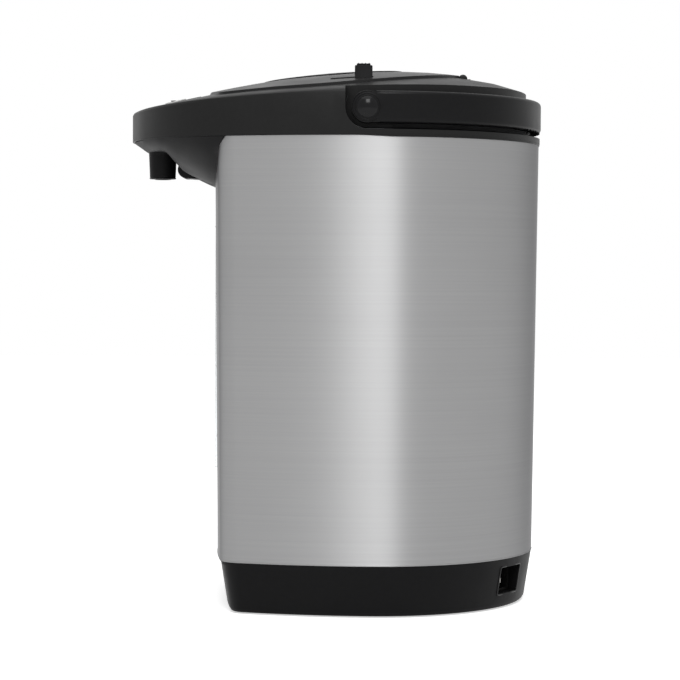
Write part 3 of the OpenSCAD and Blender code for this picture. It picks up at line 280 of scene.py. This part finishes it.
STEEL_EDGE = (0.5, 0.5, 0.505, 1.0)
LOOKS = {
    "foot_rubber": lambda k: rubber(k, (0.018, 0.018, 0.019)),
    "black_plastic": lambda k: plastic(k, (0.007, 0.007, 0.007), 0.42, 0.15),
    "base_plastic": lambda k: plastic(k, (0.005, 0.005, 0.0053), 0.5, 0.07),
    "lid_plastic": lambda k: plastic(k, (0.009, 0.009, 0.0093), 0.40, 0.2),
    "handle_plastic": lambda k: plastic(k, (0.005, 0.005, 0.0053), 0.38, 0.1),
    "shroud_plastic": lambda k: plastic(k, (0.006, 0.006, 0.0063), 0.5, 0.095),
    "gloss_black": lambda k: plastic(k, (0.004, 0.004, 0.0045), 0.2, 0.1, 900, 0.000003,
                                     Coat_Weight=0.12, Coat_Roughness=0.06),
    "dark_moulding": lambda k: plastic(k, (0.03, 0.03, 0.032), 0.5, 0.3),
    "inlet_plastic": lambda k: plastic(k, (0.003, 0.003, 0.003), 0.55, 0.06),
    "impeller_plastic": lambda k: plastic(k, (0.72, 0.7, 0.62), 0.35, 0.4),
    "clear_plastic": lambda k: clear(k, (0.93, 0.96, 0.97)),
    "tube_glass": lambda k: clear(k, (0.95, 0.98, 0.98), 0.03),
    "silicone": lambda k: plastic(k, (0.62, 0.61, 0.56), 0.5, 0.35, 900, 0.00003, 0.06,
                                  Subsurface_Weight=0.15, Subsurface_Scale=0.002),
    "insulation": lambda k: weave(k, (0.62, 0.58, 0.47)),
    "fuse_ceramic": lambda k: plastic(k, (0.6, 0.55, 0.4), 0.6, 0.3, 1400, 0.00004),
    "heater_mica": lambda k: plastic(k, (0.5, 0.38, 0.24), 0.45, 0.4, 700, 0.00005, 0.25),
    "brushed_steel": lambda k: brushed_steel(k, (0.333, 0.333, 0.335), 0.48, 0.95, 0.25),
    "pot_steel": lambda k: metal(k, (0.58, 0.58, 0.59), 0.28, (1, 1, 14)),
    "screw_steel": lambda k: metal(k, (0.5, 0.5, 0.51), 0.3),
    "contact_metal": lambda k: metal(k, (0.55, 0.53, 0.5), 0.22),
    "cast_aluminium": lambda k: metal(k, (0.52, 0.52, 0.53), 0.5, None, 0.00003),
    "bimetal": lambda k: metal(k, (0.5, 0.5, 0.49), 0.35),
    "shield_sheet": lambda k: metal(k, (0.55, 0.56, 0.57), 0.38),
    "motor_can": lambda k: metal(k, (0.42, 0.43, 0.44), 0.36),
    "board_brown": lambda k: weave(k, (0.2, 0.1, 0.035)),
    "board_green": lambda k: weave(k, (0.02, 0.12, 0.035)),
    "lamp_green": lambda k: clear(k, (0.25, 0.8, 0.3), 0.2),
    "button_red": lambda k: plastic(k, (0.5, 0.045, 0.03), 0.34, 0.4),
    "button_grey": lambda k: plastic(k, (0.55, 0.55, 0.54), 0.36, 0.4),
}
MATS = {}


def look(slot):
    if slot not in MATS:
        MATS[slot] = LOOKS[slot](slot)
    return MATS[slot]


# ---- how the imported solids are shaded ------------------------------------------


def smooth_group():
    """Geometry nodes that smooth a mesh but keep edges over a given angle sharp."""
    group = bpy.data.node_groups.new("smooth_by_angle", "GeometryNodeTree")
    group.interface.new_socket("Geometry", in_out="INPUT", socket_type="NodeSocketGeometry")
    angle = group.interface.new_socket("Angle", in_out="INPUT", socket_type="NodeSocketFloat")
    angle.default_value = 0.5
    group.interface.new_socket("Geometry", in_out="OUTPUT", socket_type="NodeSocketGeometry")
    add = group.nodes.new
    start, stop = add("NodeGroupInput"), add("NodeGroupOutput")
    faces, edges = add("GeometryNodeSetShadeSmooth"), add("GeometryNodeSetShadeSmooth")
    faces.domain, edges.domain = "FACE", "EDGE"
    edges.inputs["Shade Smooth"].default_value = False
    edge_angle, over = add("GeometryNodeInputMeshEdgeAngle"), add("ShaderNodeMath")
    over.operation = "GREATER_THAN"
    link = group.links.new
    link(start.outputs[0], faces.inputs["Geometry"])
    link(faces.outputs[0], edges.inputs["Geometry"])
    link(edge_angle.outputs[0], over.inputs[0])
    link(start.outputs["Angle"], over.inputs[1])
    link(over.outputs[0], edges.inputs["Selection"])
    link(edges.outputs[0], stop.inputs[0])
    return group, angle.identifier


SMOOTH, ANGLE_KEY = smooth_group()


def smooth(obj, degrees=30.0):
    mod = obj.modifiers.new("smooth", "NODES")
    mod.node_group = SMOOTH
    mod[ANGLE_KEY] = math.radians(degrees)


def dress(obj, bevel=0.0, degrees=30.0):
    """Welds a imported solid's split corners, rounds its hard edges and shades it smooth."""
    custom = obj.data.attributes.get("custom_normal")
    if custom:
        obj.data.attributes.remove(custom)
    weld = obj.modifiers.new("weld", "WELD")
    weld.merge_threshold = 2e-6
    if bevel:
        edge = obj.modifiers.new("edges", "BEVEL")
        edge.width = bevel * MM
        edge.segments = 2
        edge.limit_method = "ANGLE"
        edge.angle_limit = math.radians(degrees)
        edge.use_clamp_overlap = True
        edge.miter_outer = "MITER_ARC"
    smooth(obj, degrees)


BEVELS = {
    "handle": 0.5, "lid_latch": 0.4, "lock_slider": 0.5, "cup_lever": 0.5, "nozzle": 0.4, "spout_shroud": 0.5,
    "front_panel": 0.3, "dispense_button": 0.4, "reboil_button": 0.4, "unlock_button": 0.4,
    "inlet_socket": 0.3, "inlet_pins": 0.4, "rubber_feet": 0.4, "base_screws": 0.2, "bottom_cover": 0.3,
    "microswitch": 0.3, "pump_housing": 0.4, "pump_motor": 0.6, "thermostat": 0.4, "lid_base": 0.4,
}
SHARP = {"head_cover": 24.0, "lid_cover": 24.0, "outer_shell": 40.0, "base_housing": 32.0}
for name, obj in NODES.items():
    slot = obj.data.materials[0].name.split(".")[0]
    mat = look(slot)
    for i in range(len(obj.data.materials)):
        obj.data.materials[i] = mat
    dress(obj, BEVELS.get(name, 0.0), SHARP.get(name, 30.0))


# ---- making detail pieces --------------------------------------------------------


def piece(name, verts, faces, slot, body, angle=30.0):
    """A mesh in millimetres that rides on a body, shaded smooth up to an angle."""
    mesh = bpy.data.meshes.new(name)
    mesh.from_pydata([tuple(c * MM for c in v) for v in verts], [], faces)
    bm = bmesh.new()
    bm.from_mesh(mesh)
    bmesh.ops.recalc_face_normals(bm, faces=bm.faces)
    bm.to_mesh(mesh)
    bm.free()
    obj = bpy.data.objects.new(name, mesh)
    bpy.context.scene.collection.objects.link(obj)
    mesh.materials.append(look(slot))
    smooth(obj, angle)
    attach(obj, body)
    return obj


def rings_mesh(rings):
    """Vertices and faces of a skin through rings of equal length, capped at both ends."""
    n = len(rings[0])
    verts = [p for ring in rings for p in ring]
    faces = []
    for j in range(len(rings) - 1):
        for i in range(n):
            k = (i + 1) % n
            faces.append((j * n + i, j * n + k, (j + 1) * n + k, (j + 1) * n + i))
    faces.append(tuple(reversed(range(n))))
    faces.append(tuple(range((len(rings) - 1) * n, len(rings) * n)))
    return verts, faces


def sweep(path, section, closed, up):
    """Rings of a section, given as (side, up) pairs, carried along a path."""
    rings = []
    n = len(path)
    for i, p in enumerate(path):
        a = path[(i - 1) % n] if closed or i else path[0]
        b = path[(i + 1) % n] if closed or i < n - 1 else path[-1]
        t = (Vector(b) - Vector(a)).normalized()
        side = t.cross(up).normalized()
        top = side.cross(t).normalized()
        rings.append([tuple(Vector(p) + side * u + top * v) for u, v in section])
    return rings


def circle(r, n=10, squash=1.0):
    return [(r * math.cos(t), squash * r * math.sin(t)) for t in full_turn(n)]


def level_ring(x0, y0, r, z, n):
    """Round path at one height."""
    return [(x0 + r * math.cos(t), y0 + r * math.sin(t), z) for t in full_turn(n)]


def merged(parts):
    """Joins (vertices, faces) pairs into one."""
    verts, faces = [], []
    for v, f in parts:
        faces += [tuple(i + len(verts) for i in face) for face in f]
        verts += v
    return verts, faces


def wrap(rings):
    """Skin round a closed loop of sections."""
    n, k = len(rings[0]), len(rings)
    verts = [p for ring in rings for p in ring]
    faces = [(j * n + i, j * n + (i + 1) % n, (j + 1) % k * n + (i + 1) % n, (j + 1) % k * n + i)
             for j in range(k) for i in range(n)]
    return verts, faces


def loop(path, section, up=Vector((0, 0, 1))):
    """Closed bead along a path."""
    return wrap(sweep(path, section, True, up))


def rod(path, section, up=Vector((0, 0, 1))):
    """Open bead along a path, capped at both ends."""
    return rings_mesh(sweep(path, section, False, up))


def slab(outline, low, high, ease=0.15):
    """Plate with eased top edges over an outline; its heights are functions of place."""
    cx = sum(p[0] for p in outline) / len(outline)
    cy = sum(p[1] for p in outline) / len(outline)

    def ring(shift, height):
        out = []
        for x, y in outline:
            d = math.hypot(x - cx, y - cy) or 1.0
            k = 1 - shift / d
            px, py = cx + (x - cx) * k, cy + (y - cy) * k
            out.append((px, py, height(px, py)))
        return out
    return rings_mesh([ring(0, low), ring(0, lambda x, y: high(x, y) - ease), ring(ease, high)])


def on_head(lift):
    """Height over the domed skin, as a function of place."""
    return lambda x, y: skin_z(x, y) + lift


def ring_on(lift, x0, y0, r):
    """Round path on the domed skin."""
    return [(x, y, skin_z(x, y) + lift) for x, y, _ in level_ring(x0, y0, r, 0, 48)]


def step(x, a, b):
    """Smooth rise from 0 at a to 1 at b."""
    t = min(1.0, max(0.0, (x - a) / (b - a)))
    return t * t * (3 - 2 * t)


# ---- detail pieces -----------------------------------------------------------------

# trim under the head's rim, deeper behind the handle's pivot
outer, inner = body_plan(SHELL_R, FRONT_D, -0.4), body_plan(SHELL_R, FRONT_D, -0.03)
rim = []
for (x, y), (u, v) in zip(outer, inner):
    low = SHELL_TOP - 0.3 - 0.9 * step(x, -12, 14)
    rim.append([(u, v, low), (x, y, low + 0.15), (x, y, SHELL_TOP - 0.02), (u, v, SHELL_TOP - 0.02)])
piece("rim_trim", *wrap(rim), "black_plastic", "body", 50)

# rolled hem at the foot of the steel
piece("shell_hem", *loop([(x, y, BASE_H + 0.45) for x, y in body_plan(SHELL_R_LOW, FRONT_D_LOW, 0.05)],
                         circle(0.3, 8)), "brushed_steel", "body", 60)

# rounded sides of the spout's shroud; each row has a place along X, the half width and height of the lower
# edge there, and the half width of the inner side
FLANKS = [(-143, 14.2, -6.2, 12), (-141, 17.5, -6.4, 12), (-139, 21.5, -6.5, 12), (-137, 26.5, -6.55, 12),
          (-135, 32, -6.6, 12), (-133, 37, -6.65, 12), (-131, 41, -6.8, 12), (-129.4, 42.2, -7.1, 12),
          (-128, 41, -8.0, 12), (-126.5, 38.5, -9.6, 12.5), (-125, 35.5, -11.4, 13), (-123.5, 32.5, -13.2, 14),
          (-122, 29.5, -15.0, 15), (-120.5, 26.5, -16.7, 16.5), (-119, 24, -18.2, 18), (-117, 23.5, -19.5, 19),
          (-114, 24.5, -21.1, 21), (-110, 26.5, -23.0, 23), (-105, 29, -25.3, 25), (-101, 31, -26.9, 27),
          (-98, 32, -27.0, 28), (-95, 32, -27.0, 28), (-92, 32, -27.0, 28), (-90, 32, -27.0, 28)]
FRONT_EDGE = sorted((abs(y), x) for x, y in body_plan(SHELL_R, FRONT_D) if x < -60)


def front_at(y):
    """Place along X of the body's front at a distance from the middle."""
    for (y0, x0), (y1, x1) in zip(FRONT_EDGE, FRONT_EDGE[1:]):
        if y0 <= abs(y) <= y1 and y1 > y0:
            return x0 + (x1 - x0) * (abs(y) - y0) / (y1 - y0)
    return -60.0


def bent(start, pull, end, n):
    """Points of the quadratic curve from start to end that leans towards pull."""
    steps = [k / n for k in range(n + 1)]
    return [tuple(a * (1 - t) ** 2 + 2 * t * (1 - t) * b + t * t * c for a, b, c in zip(start, pull, end))
            for t in steps]


SHROUD_IN, SHROUD_WALL, SHROUD_TOP = 1.35, 2.6, -0.05
flanks = []
for side in (-1, 1):
    rings = []
    for x, edge_y, edge_z, inner_y in FLANKS:
        top_y = head_half_w(x) - SHROUD_IN
        line = bent((top_y, SHROUD_TOP), (top_y - 0.3 * (top_y - edge_y), edge_z * 0.75), (edge_y, edge_z), 8)
        line += [(inner_y, edge_z + 0.35), (inner_y + 0.5, edge_z + 1.1),
                 (top_y - SHROUD_WALL, SHROUD_TOP)]
        rings.append([(min(x, front_at(y) + 0.3), side * y, SHELL_TOP + z) for y, z in line])
    flanks.append(rings_mesh(rings))
piece("shroud_flanks", *merged(flanks), "shroud_plastic", "body", 38)

# dark matte strip on the collar behind the folded handle: painted shade that darkens the gap under the handle
STRIP_IN, STRIP_OUT = COLLAR_R + 0.05, COLLAR_R + 0.9
strip = [(STRIP_IN, LEDGE_Z + 0.1), (STRIP_OUT, LEDGE_Z + 0.3),
         (STRIP_OUT, SHELL_TOP + COLLAR_H - 0.6), (STRIP_IN, SHELL_TOP + COLLAR_H)]
turns = [[(*polar((0, 0), r, a), z) for r, z in strip] for a in range(-84, 85, 3)]
piece("collar_shade_strip", *rings_mesh(turns), "foot_rubber", "body", 40)

ACROSS = Vector((0, 1, 0))


def upright(points, y):
    """Points (x, z) at one place across."""
    return [(x, y, z) for x, z in points]


# on each end of the handle, a ring round its cap and a rounded edge
for side in (-1, 1):
    around = [(PIVOT[0] + x, PIVOT[1] + z) for x, z in circle(CAP_R, 48)]
    cap_ring = loop(upright(around, side * (HANDLE_OUT + 0.02)), circle(0.35, 8, 0.8), ACROSS)
    lip = upright(arc(PIVOT, HANDLE_HALF - 0.35, 70, 290, 24), side * (HANDLE_OUT - 0.2))
    edge = rod(lip, circle(0.3, 8), ACROSS)
    piece("handle_cap_ring_" + "lr"[side > 0], *merged([cap_ring, edge]), "handle_plastic", "handle", 50)

# rounded edge of the recess round the handle's pivot, which runs on behind it along the ledge
for side in (-1, 1):
    turned = arc(PIVOT, RECESS_R, 150, 270, 18)
    turned += [(PIVOT[0] + k * 1.6, PIVOT[1] - RECESS_R) for k in range(1, 7)]
    turned = [(x, side * (math.sqrt(HEAD_R ** 2 - x * x) - 0.12), z) for x, z in turned]
    piece("recess_rim_" + "lr"[side > 0], *rod(turned, circle(0.3, 8), ACROSS), "gloss_black", "body", 50)

# ribs under the grip of the handle
ribs = []
for i in range(-8, 9):
    line = [(*polar((0, 0), HANDLE_IN + 1.6 + k * 1.1, i * 3.2), PIVOT[1] - HANDLE_HALF - 0.05)
            for k in range(6)]
    ribs.append(rod(line, circle(0.55, 8, 0.7)))
piece("handle_grip_ribs", *merged(ribs), "handle_plastic", "handle", 50)

# caps on the ends of the lid's hinge barrels
HINGE_CAP = ((HINGE_R, -0.3), (HINGE_R, 0.1), (HINGE_R - 0.3, 0.35), (HINGE_R - 1.4, 0.5))
caps = []
for side in (-1, 1):
    rings = []
    for r, out in HINGE_CAP:
        rings.append(upright([(HINGE[0] + x, HINGE[1] + z) for x, z in circle(r, 28)], side * (HINGE_END + out)))
    caps.append(rings_mesh(rings))
piece("hinge_caps", *merged(caps), "black_plastic", "body", 50)

# ridges on the lock slider's tab and rings on the press plate
tab_top = skin_z(SLIDER_X, SLIDER_Y) + LID_STEP + SLIDER_TAB
ridges = [rod([(SLIDER_X - 3.1 + i * 2.1, SLIDER_Y - 1.6 + k * 0.8, tab_top) for k in range(5)],
              circle(0.35, 8, 0.8)) for i in range(4)]
piece("slider_ridges", *merged(ridges), "gloss_black", "lock_slider", 50)
rings = [loop(ring_on(LID_STEP + 0.62, PRESS_X, 0, r), circle(0.4, 8, 0.5)) for r in (12, 16, 20)]
piece("press_rings", *merged(rings), "lid_plastic", "press_plate", 50)

# button rings, lamp lenses and plain signs on the controls
rings = [loop(ring_on(0.2, DECK_X, y, r + 1.1), circle(0.4, 8, 0.6)) for y, r in BUTTONS.values()]
piece("button_rings", *merged(rings), "dark_moulding", "body", 50)
LENS = ((1, 0), (1, 0.2), (0.85, 0.45), (0.5, 0.65), (0.1, 0.7))
lenses = [rings_mesh([level_ring(x, y, 1.9 * c, skin_z(x, y) + 0.25 + h, 20) for c, h in LENS])
          for x, y in LAMPS]
piece("lamp_lenses", *merged(lenses), "lamp_green", "body", 45)

drop = [(DECK_X + 3.4 * math.cos(t) * (1 if math.cos(t) < 0 else 1 + 0.75 * math.cos(t) ** 3) + 1.0,
         2.7 * math.sin(t) * (1 - 0.45 * max(0.0, math.cos(t)))) for t in full_turn(36)]
piece("dispense_sign", *slab(drop, on_head(1.2), on_head(1.62)), "button_grey", "dispense_button", 40)
waves = [rod([(DECK_X - 2.6 + k * 0.52, -25 + dy + 0.55 * math.sin(k * 1.25), skin_z(DECK_X, -25) + 1.46)
              for k in range(11)], circle(0.28, 8)) for dy in (-2.2, 0, 2.2)]
piece("reboil_sign", *merged(waves), "gloss_black", "reboil_button", 50)
lock_z = skin_z(DECK_X, 25) + 1.46
shackle = rod([(DECK_X + 0.4 + 2.2 * math.cos(t) * 1.15, 25 + 1.5 * math.sin(t), lock_z)
               for t in [math.pi * (i / 12 - 0.5) for i in range(13)]], circle(0.28, 8))
case = slab([(DECK_X + 0.4, 22.8), (DECK_X + 0.4, 27.2), (DECK_X - 3.0, 27.2), (DECK_X - 3.0, 22.8)],
            lambda x, y: lock_z - 0.25, lambda x, y: lock_z + 0.25)
piece("unlock_sign", *merged([shackle, case]), "gloss_black", "unlock_button", 50)


# bezel, level marks and numerals on the front panel
def front_x(z, out=0.0):
    t = (z - BASE_H) / SHELL_H
    return -(FRONT_D_LOW + (FRONT_D - FRONT_D_LOW) * t) - out


half = WINDOW_W / 2 + 1.0
corners = arc((-half + 2, WINDOW_LOW + 1), 2, 180, 270, 6) + arc((half - 2, WINDOW_LOW + 1), 2, 270, 360, 6)
corners += arc((half - 2, WINDOW_HIGH - 1), 2, 0, 90, 6) + arc((-half + 2, WINDOW_HIGH - 1), 2, 90, 180, 6)
bezel = loop([(front_x(z, 0.32), y, z) for y, z in corners], circle(0.5, 8, 0.6), Vector((1, 0, 0)))
piece("window_bezel", *bezel, "gloss_black", "body", 50)
marks = []
for i in range(4, 20):
    z = POT_FLOOR + i * LITRE_H / 4
    if WINDOW_LOW + 4 < z < WINDOW_HIGH - 4:
        long = 4.2 if i % 4 == 0 else 2.2
        line = [(front_x(z, 0.34), -half - 1.0 - long * k / 4, z) for k in range(5)]
        marks.append(rod(line, circle(0.28 if i % 4 else 0.42, 8, 0.7), Vector((1, 0, 0))))
piece("level_marks", *merged(marks), "button_grey", "body", 50)


def numeral(text, place, size, slot, body, facing):
    """Raised numeral as a mesh, turned by a matrix to face its side."""
    curve = bpy.data.curves.new("numeral_" + text, "FONT")
    curve.body, curve.size, curve.extrude, curve.bevel_depth = text, size * MM, 0.14 * MM, 0.05 * MM
    curve.align_x, curve.align_y = "CENTER", "CENTER"
    holder = bpy.data.objects.new("numeral_" + text, curve)
    bpy.context.scene.collection.objects.link(holder)
    bpy.context.view_layer.update()
    mesh = bpy.data.meshes.new_from_object(holder)
    bpy.data.objects.remove(holder)
    mesh.transform(Matrix.Translation(Vector(place) * MM) @ facing)
    obj = bpy.data.objects.new("numeral_" + text, mesh)
    bpy.context.scene.collection.objects.link(obj)
    mesh.materials.clear()
    mesh.materials.append(look(slot))
    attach(obj, body)
    return obj


FACING_FRONT = Matrix.Rotation(-math.pi / 2, 4, "Z") @ Matrix.Rotation(math.pi / 2, 4, "X")
for litre in (1, 2, 3, 4):
    z = POT_FLOOR + litre * LITRE_H
    numeral(str(litre), (front_x(z, 0.42), 9.0, z), 5.2, "button_grey", "body", FACING_FRONT)

# float in the level tube
float_z = POT_FLOOR + 2.6 * LITRE_H
FLOAT_R, FLOAT_HALF = 2.9, 4.0
tube_x = -(FRONT_D_LOW - TUBE_IN)
ball = rings_mesh([level_ring(tube_x, 0, FLOAT_R * math.cos(b), float_z + FLOAT_HALF * math.sin(b), 24)
                   for b in [math.radians(a) for a in range(-80, 81, 16)]])
piece("level_float", *ball, "button_red", "body", 50)


# raised frame round the mains inlet
def base_r(z):
    return SHELL_R_LOW - BASE_STEP - BASE_DRAW * (1 - z / BASE_H)


frame_path = []
INLET_CORNER = 1.4
hw, hh = INLET_W / 2 + 0.5 - INLET_CORNER, INLET_H / 2 + 0.5 - INLET_CORNER
for cu, cz, a in ((hw, hh, 0), (-hw, hh, 90), (-hw, -hh, 180), (hw, -hh, 270)):
    for u, dz in arc((cu, cz), INLET_CORNER, a, a + 90, 6):
        r = base_r(INLET_Z + dz) + 0.05
        turn = math.radians(INLET_ANGLE) + math.asin(u / r)
        frame_path.append((r * math.cos(turn), r * math.sin(turn), INLET_Z + dz))
aim = Vector((math.cos(math.radians(INLET_ANGLE)), math.sin(math.radians(INLET_ANGLE)), 0))
piece("inlet_frame", *loop(frame_path, circle(0.55, 10, 0.7), aim), "gloss_black", "body", 50)

# rounded lip of the nozzle, and a bead round its bore
lip_z = SHELL_TOP - NOZZLE_DROP + 0.45
lip = level_ring(-NOZZLE_X, 0, NOZZLE_R - 0.72, lip_z, 40)
bore = level_ring(-NOZZLE_X, 0, NOZZLE_BORE_R, lip_z - 0.5, 40)
piece("nozzle_lip", *merged([loop(lip, circle(0.4, 8)), loop(bore, circle(0.35, 8))]), "gloss_black", "body", 50)

# rims round the feet and ribs on the bottom cover
rims = []
for a in (45, 135, 225, 315):
    cx, cy = polar((0, 0), FOOT_CIRCLE, a)
    path = [(*polar((cx, cy), FOOT_R + 1.1, t * 10), COVER_Z) for t in range(36)]
    rims.append(loop(path, circle(0.45, 8, 0.7)))
for y in (-50, -38, -26, 26, 38, 50):
    rims.append(rod([(-48 + k * 9.6, y, COVER_Z) for k in range(11)], circle(0.45, 8, 0.7)))
piece("cover_ribs", *merged(rims), "dark_moulding", "body", 50)

# strainer over the pot's outlet and level marks inside the pot
STRAINER, STRAINER_Z = ((9, 0), (7.5, 2.2), (5, 3.8), (2, 4.6)), POT_FLOOR + 1.1
wires = [loop(level_ring(OUTLET_X, 0, r, STRAINER_Z + h, 32), circle(0.45, 6)) for r, h in STRAINER]
for a in range(0, 360, 45):
    wires.append(rod([(*polar((OUTLET_X, 0), r, a), STRAINER_Z + h) for r, h in STRAINER], circle(0.4, 6)))
piece("pot_strainer", *merged(wires), "pot_steel", "body", 50)
inside = []
for litre in (1, 2, 3, 4):
    z = POT_FLOOR + litre * LITRE_H
    inside.append(rod([(x, y, z) for x, y in arc((POT_X, 0), POT_R - 0.95, 150, 166, 4)], circle(0.35, 6)))
piece("pot_marks", *merged(inside), "pot_steel", "body", 50)


# ---- camera and studio -------------------------------------------------------------

# fitted to the proportions in the picture; focal length, dip of the view and picture's width are in pixels
FOCAL, DIP, PICTURE_W = 2222.0, 66.6, 680.0
CAMERA_AT, ROLL, SENSOR_W = (-0.0208, -1.411, 0.2046), 0.005, 36.0
cam_data = bpy.data.cameras.new("camera")
cam_data.sensor_width = SENSOR_W
cam_data.lens = FOCAL / PICTURE_W * SENSOR_W
cam_data.clip_start = 0.05
camera = bpy.data.objects.new("camera", cam_data)
bpy.context.scene.collection.objects.link(camera)
camera.matrix_world = (Matrix.Translation(CAMERA_AT)
                       @ Matrix.Rotation(math.pi / 2 - math.atan(DIP / FOCAL), 4, "X")
                       @ Matrix.Rotation(ROLL, 4, "Z"))
bpy.context.scene.camera = camera

scene = bpy.context.scene
scene.view_settings.view_transform = "Standard"

# white to the lens and to mirrors, dimmer as a light
FILL_LIGHT = 0.55
world = bpy.data.worlds.new("studio")
scene.world = world
world.use_nodes = True
tree = world.node_tree
tree.nodes.clear()
add = tree.nodes.new
out, mix = add("ShaderNodeOutputWorld"), add("ShaderNodeMixShader")
light, white, path = add("ShaderNodeBackground"), add("ShaderNodeBackground"), add("ShaderNodeLightPath")
light.inputs["Strength"].default_value = FILL_LIGHT
white.inputs["Strength"].default_value = 1.0
white.inputs["Color"].default_value = (1, 1, 1, 1)
light.inputs["Color"].default_value = (1, 1, 1, 1)
either, any_of = add("ShaderNodeMath"), add("ShaderNodeMath")
either.operation = any_of.operation = "MAXIMUM"
tree.links.new(path.outputs["Is Camera Ray"], either.inputs[0])
tree.links.new(path.outputs["Is Glossy Ray"], either.inputs[1])
tree.links.new(either.outputs[0], any_of.inputs[0])
tree.links.new(path.outputs["Is Transmission Ray"], any_of.inputs[1])
tree.links.new(any_of.outputs[0], mix.inputs["Fac"])
tree.links.new(light.outputs[0], mix.inputs[1])
tree.links.new(white.outputs[0], mix.inputs[2])
tree.links.new(mix.outputs[0], out.inputs["Surface"])


def softbox(name, place, target, width, height, energy):
    data = bpy.data.lights.new(name, "AREA")
    data.shape = "RECTANGLE"
    data.size, data.size_y, data.energy = width, height, energy
    obj = bpy.data.objects.new(name, data)
    scene.collection.objects.link(obj)
    aim = Vector(target) - Vector(place)
    obj.matrix_world = Matrix.Translation(place) @ aim.to_track_quat("-Z", "Y").to_matrix().to_4x4()
    return obj


softbox("front_strip", (0.13, -1.9, 2.1), (0, 0, 0.17), 1.1, 1.2, 41)
softbox("overhead", (-0.1, -0.2, 1.9), (0, 0, 0.2), 1.6, 1.6, 9)

# paper under the pot, which glows to the lens and to mirrors so that it joins the background
bpy.ops.mesh.primitive_plane_add(size=8, location=(0, 0, -0.0002))
floor = bpy.context.object
floor.name = "floor"
n = Nodes("floor_paper")
n.tree.nodes.remove(n.bsdf)
paper = n.noise(700, 4.0, 0.6)
diffuse, glow = n.add("ShaderNodeBsdfDiffuse"), n.add("ShaderNodeEmission")
blend = n.add("ShaderNodeMixShader")
n.link(n.tint(paper, (0.86, 0.86, 0.86), (0.9, 0.9, 0.9)), "Color", diffuse, "Color")
both = n.add("ShaderNodeAddShader")
rays = n.add("ShaderNodeLightPath")
glow.inputs["Strength"].default_value = FILL_LIGHT
n.link(diffuse, "BSDF", both, 0)
n.link(glow, "Emission", both, 1)
seen, seen_any = n.add("ShaderNodeMath", operation="MAXIMUM"), n.add("ShaderNodeMath", operation="MAXIMUM")
n.link(rays, "Is Camera Ray", seen, 0)
n.link(rays, "Is Glossy Ray", seen, 1)
n.link(seen, 0, seen_any, 0)
n.link(rays, "Is Transmission Ray", seen_any, 1)
n.link(seen_any, 0, blend, "Fac")
n.link(diffuse, "BSDF", blend, 1)
n.link(both, 0, blend, 2)
n.link(blend, 0, n.out, "Surface")
floor.data.materials.append(n.mat)
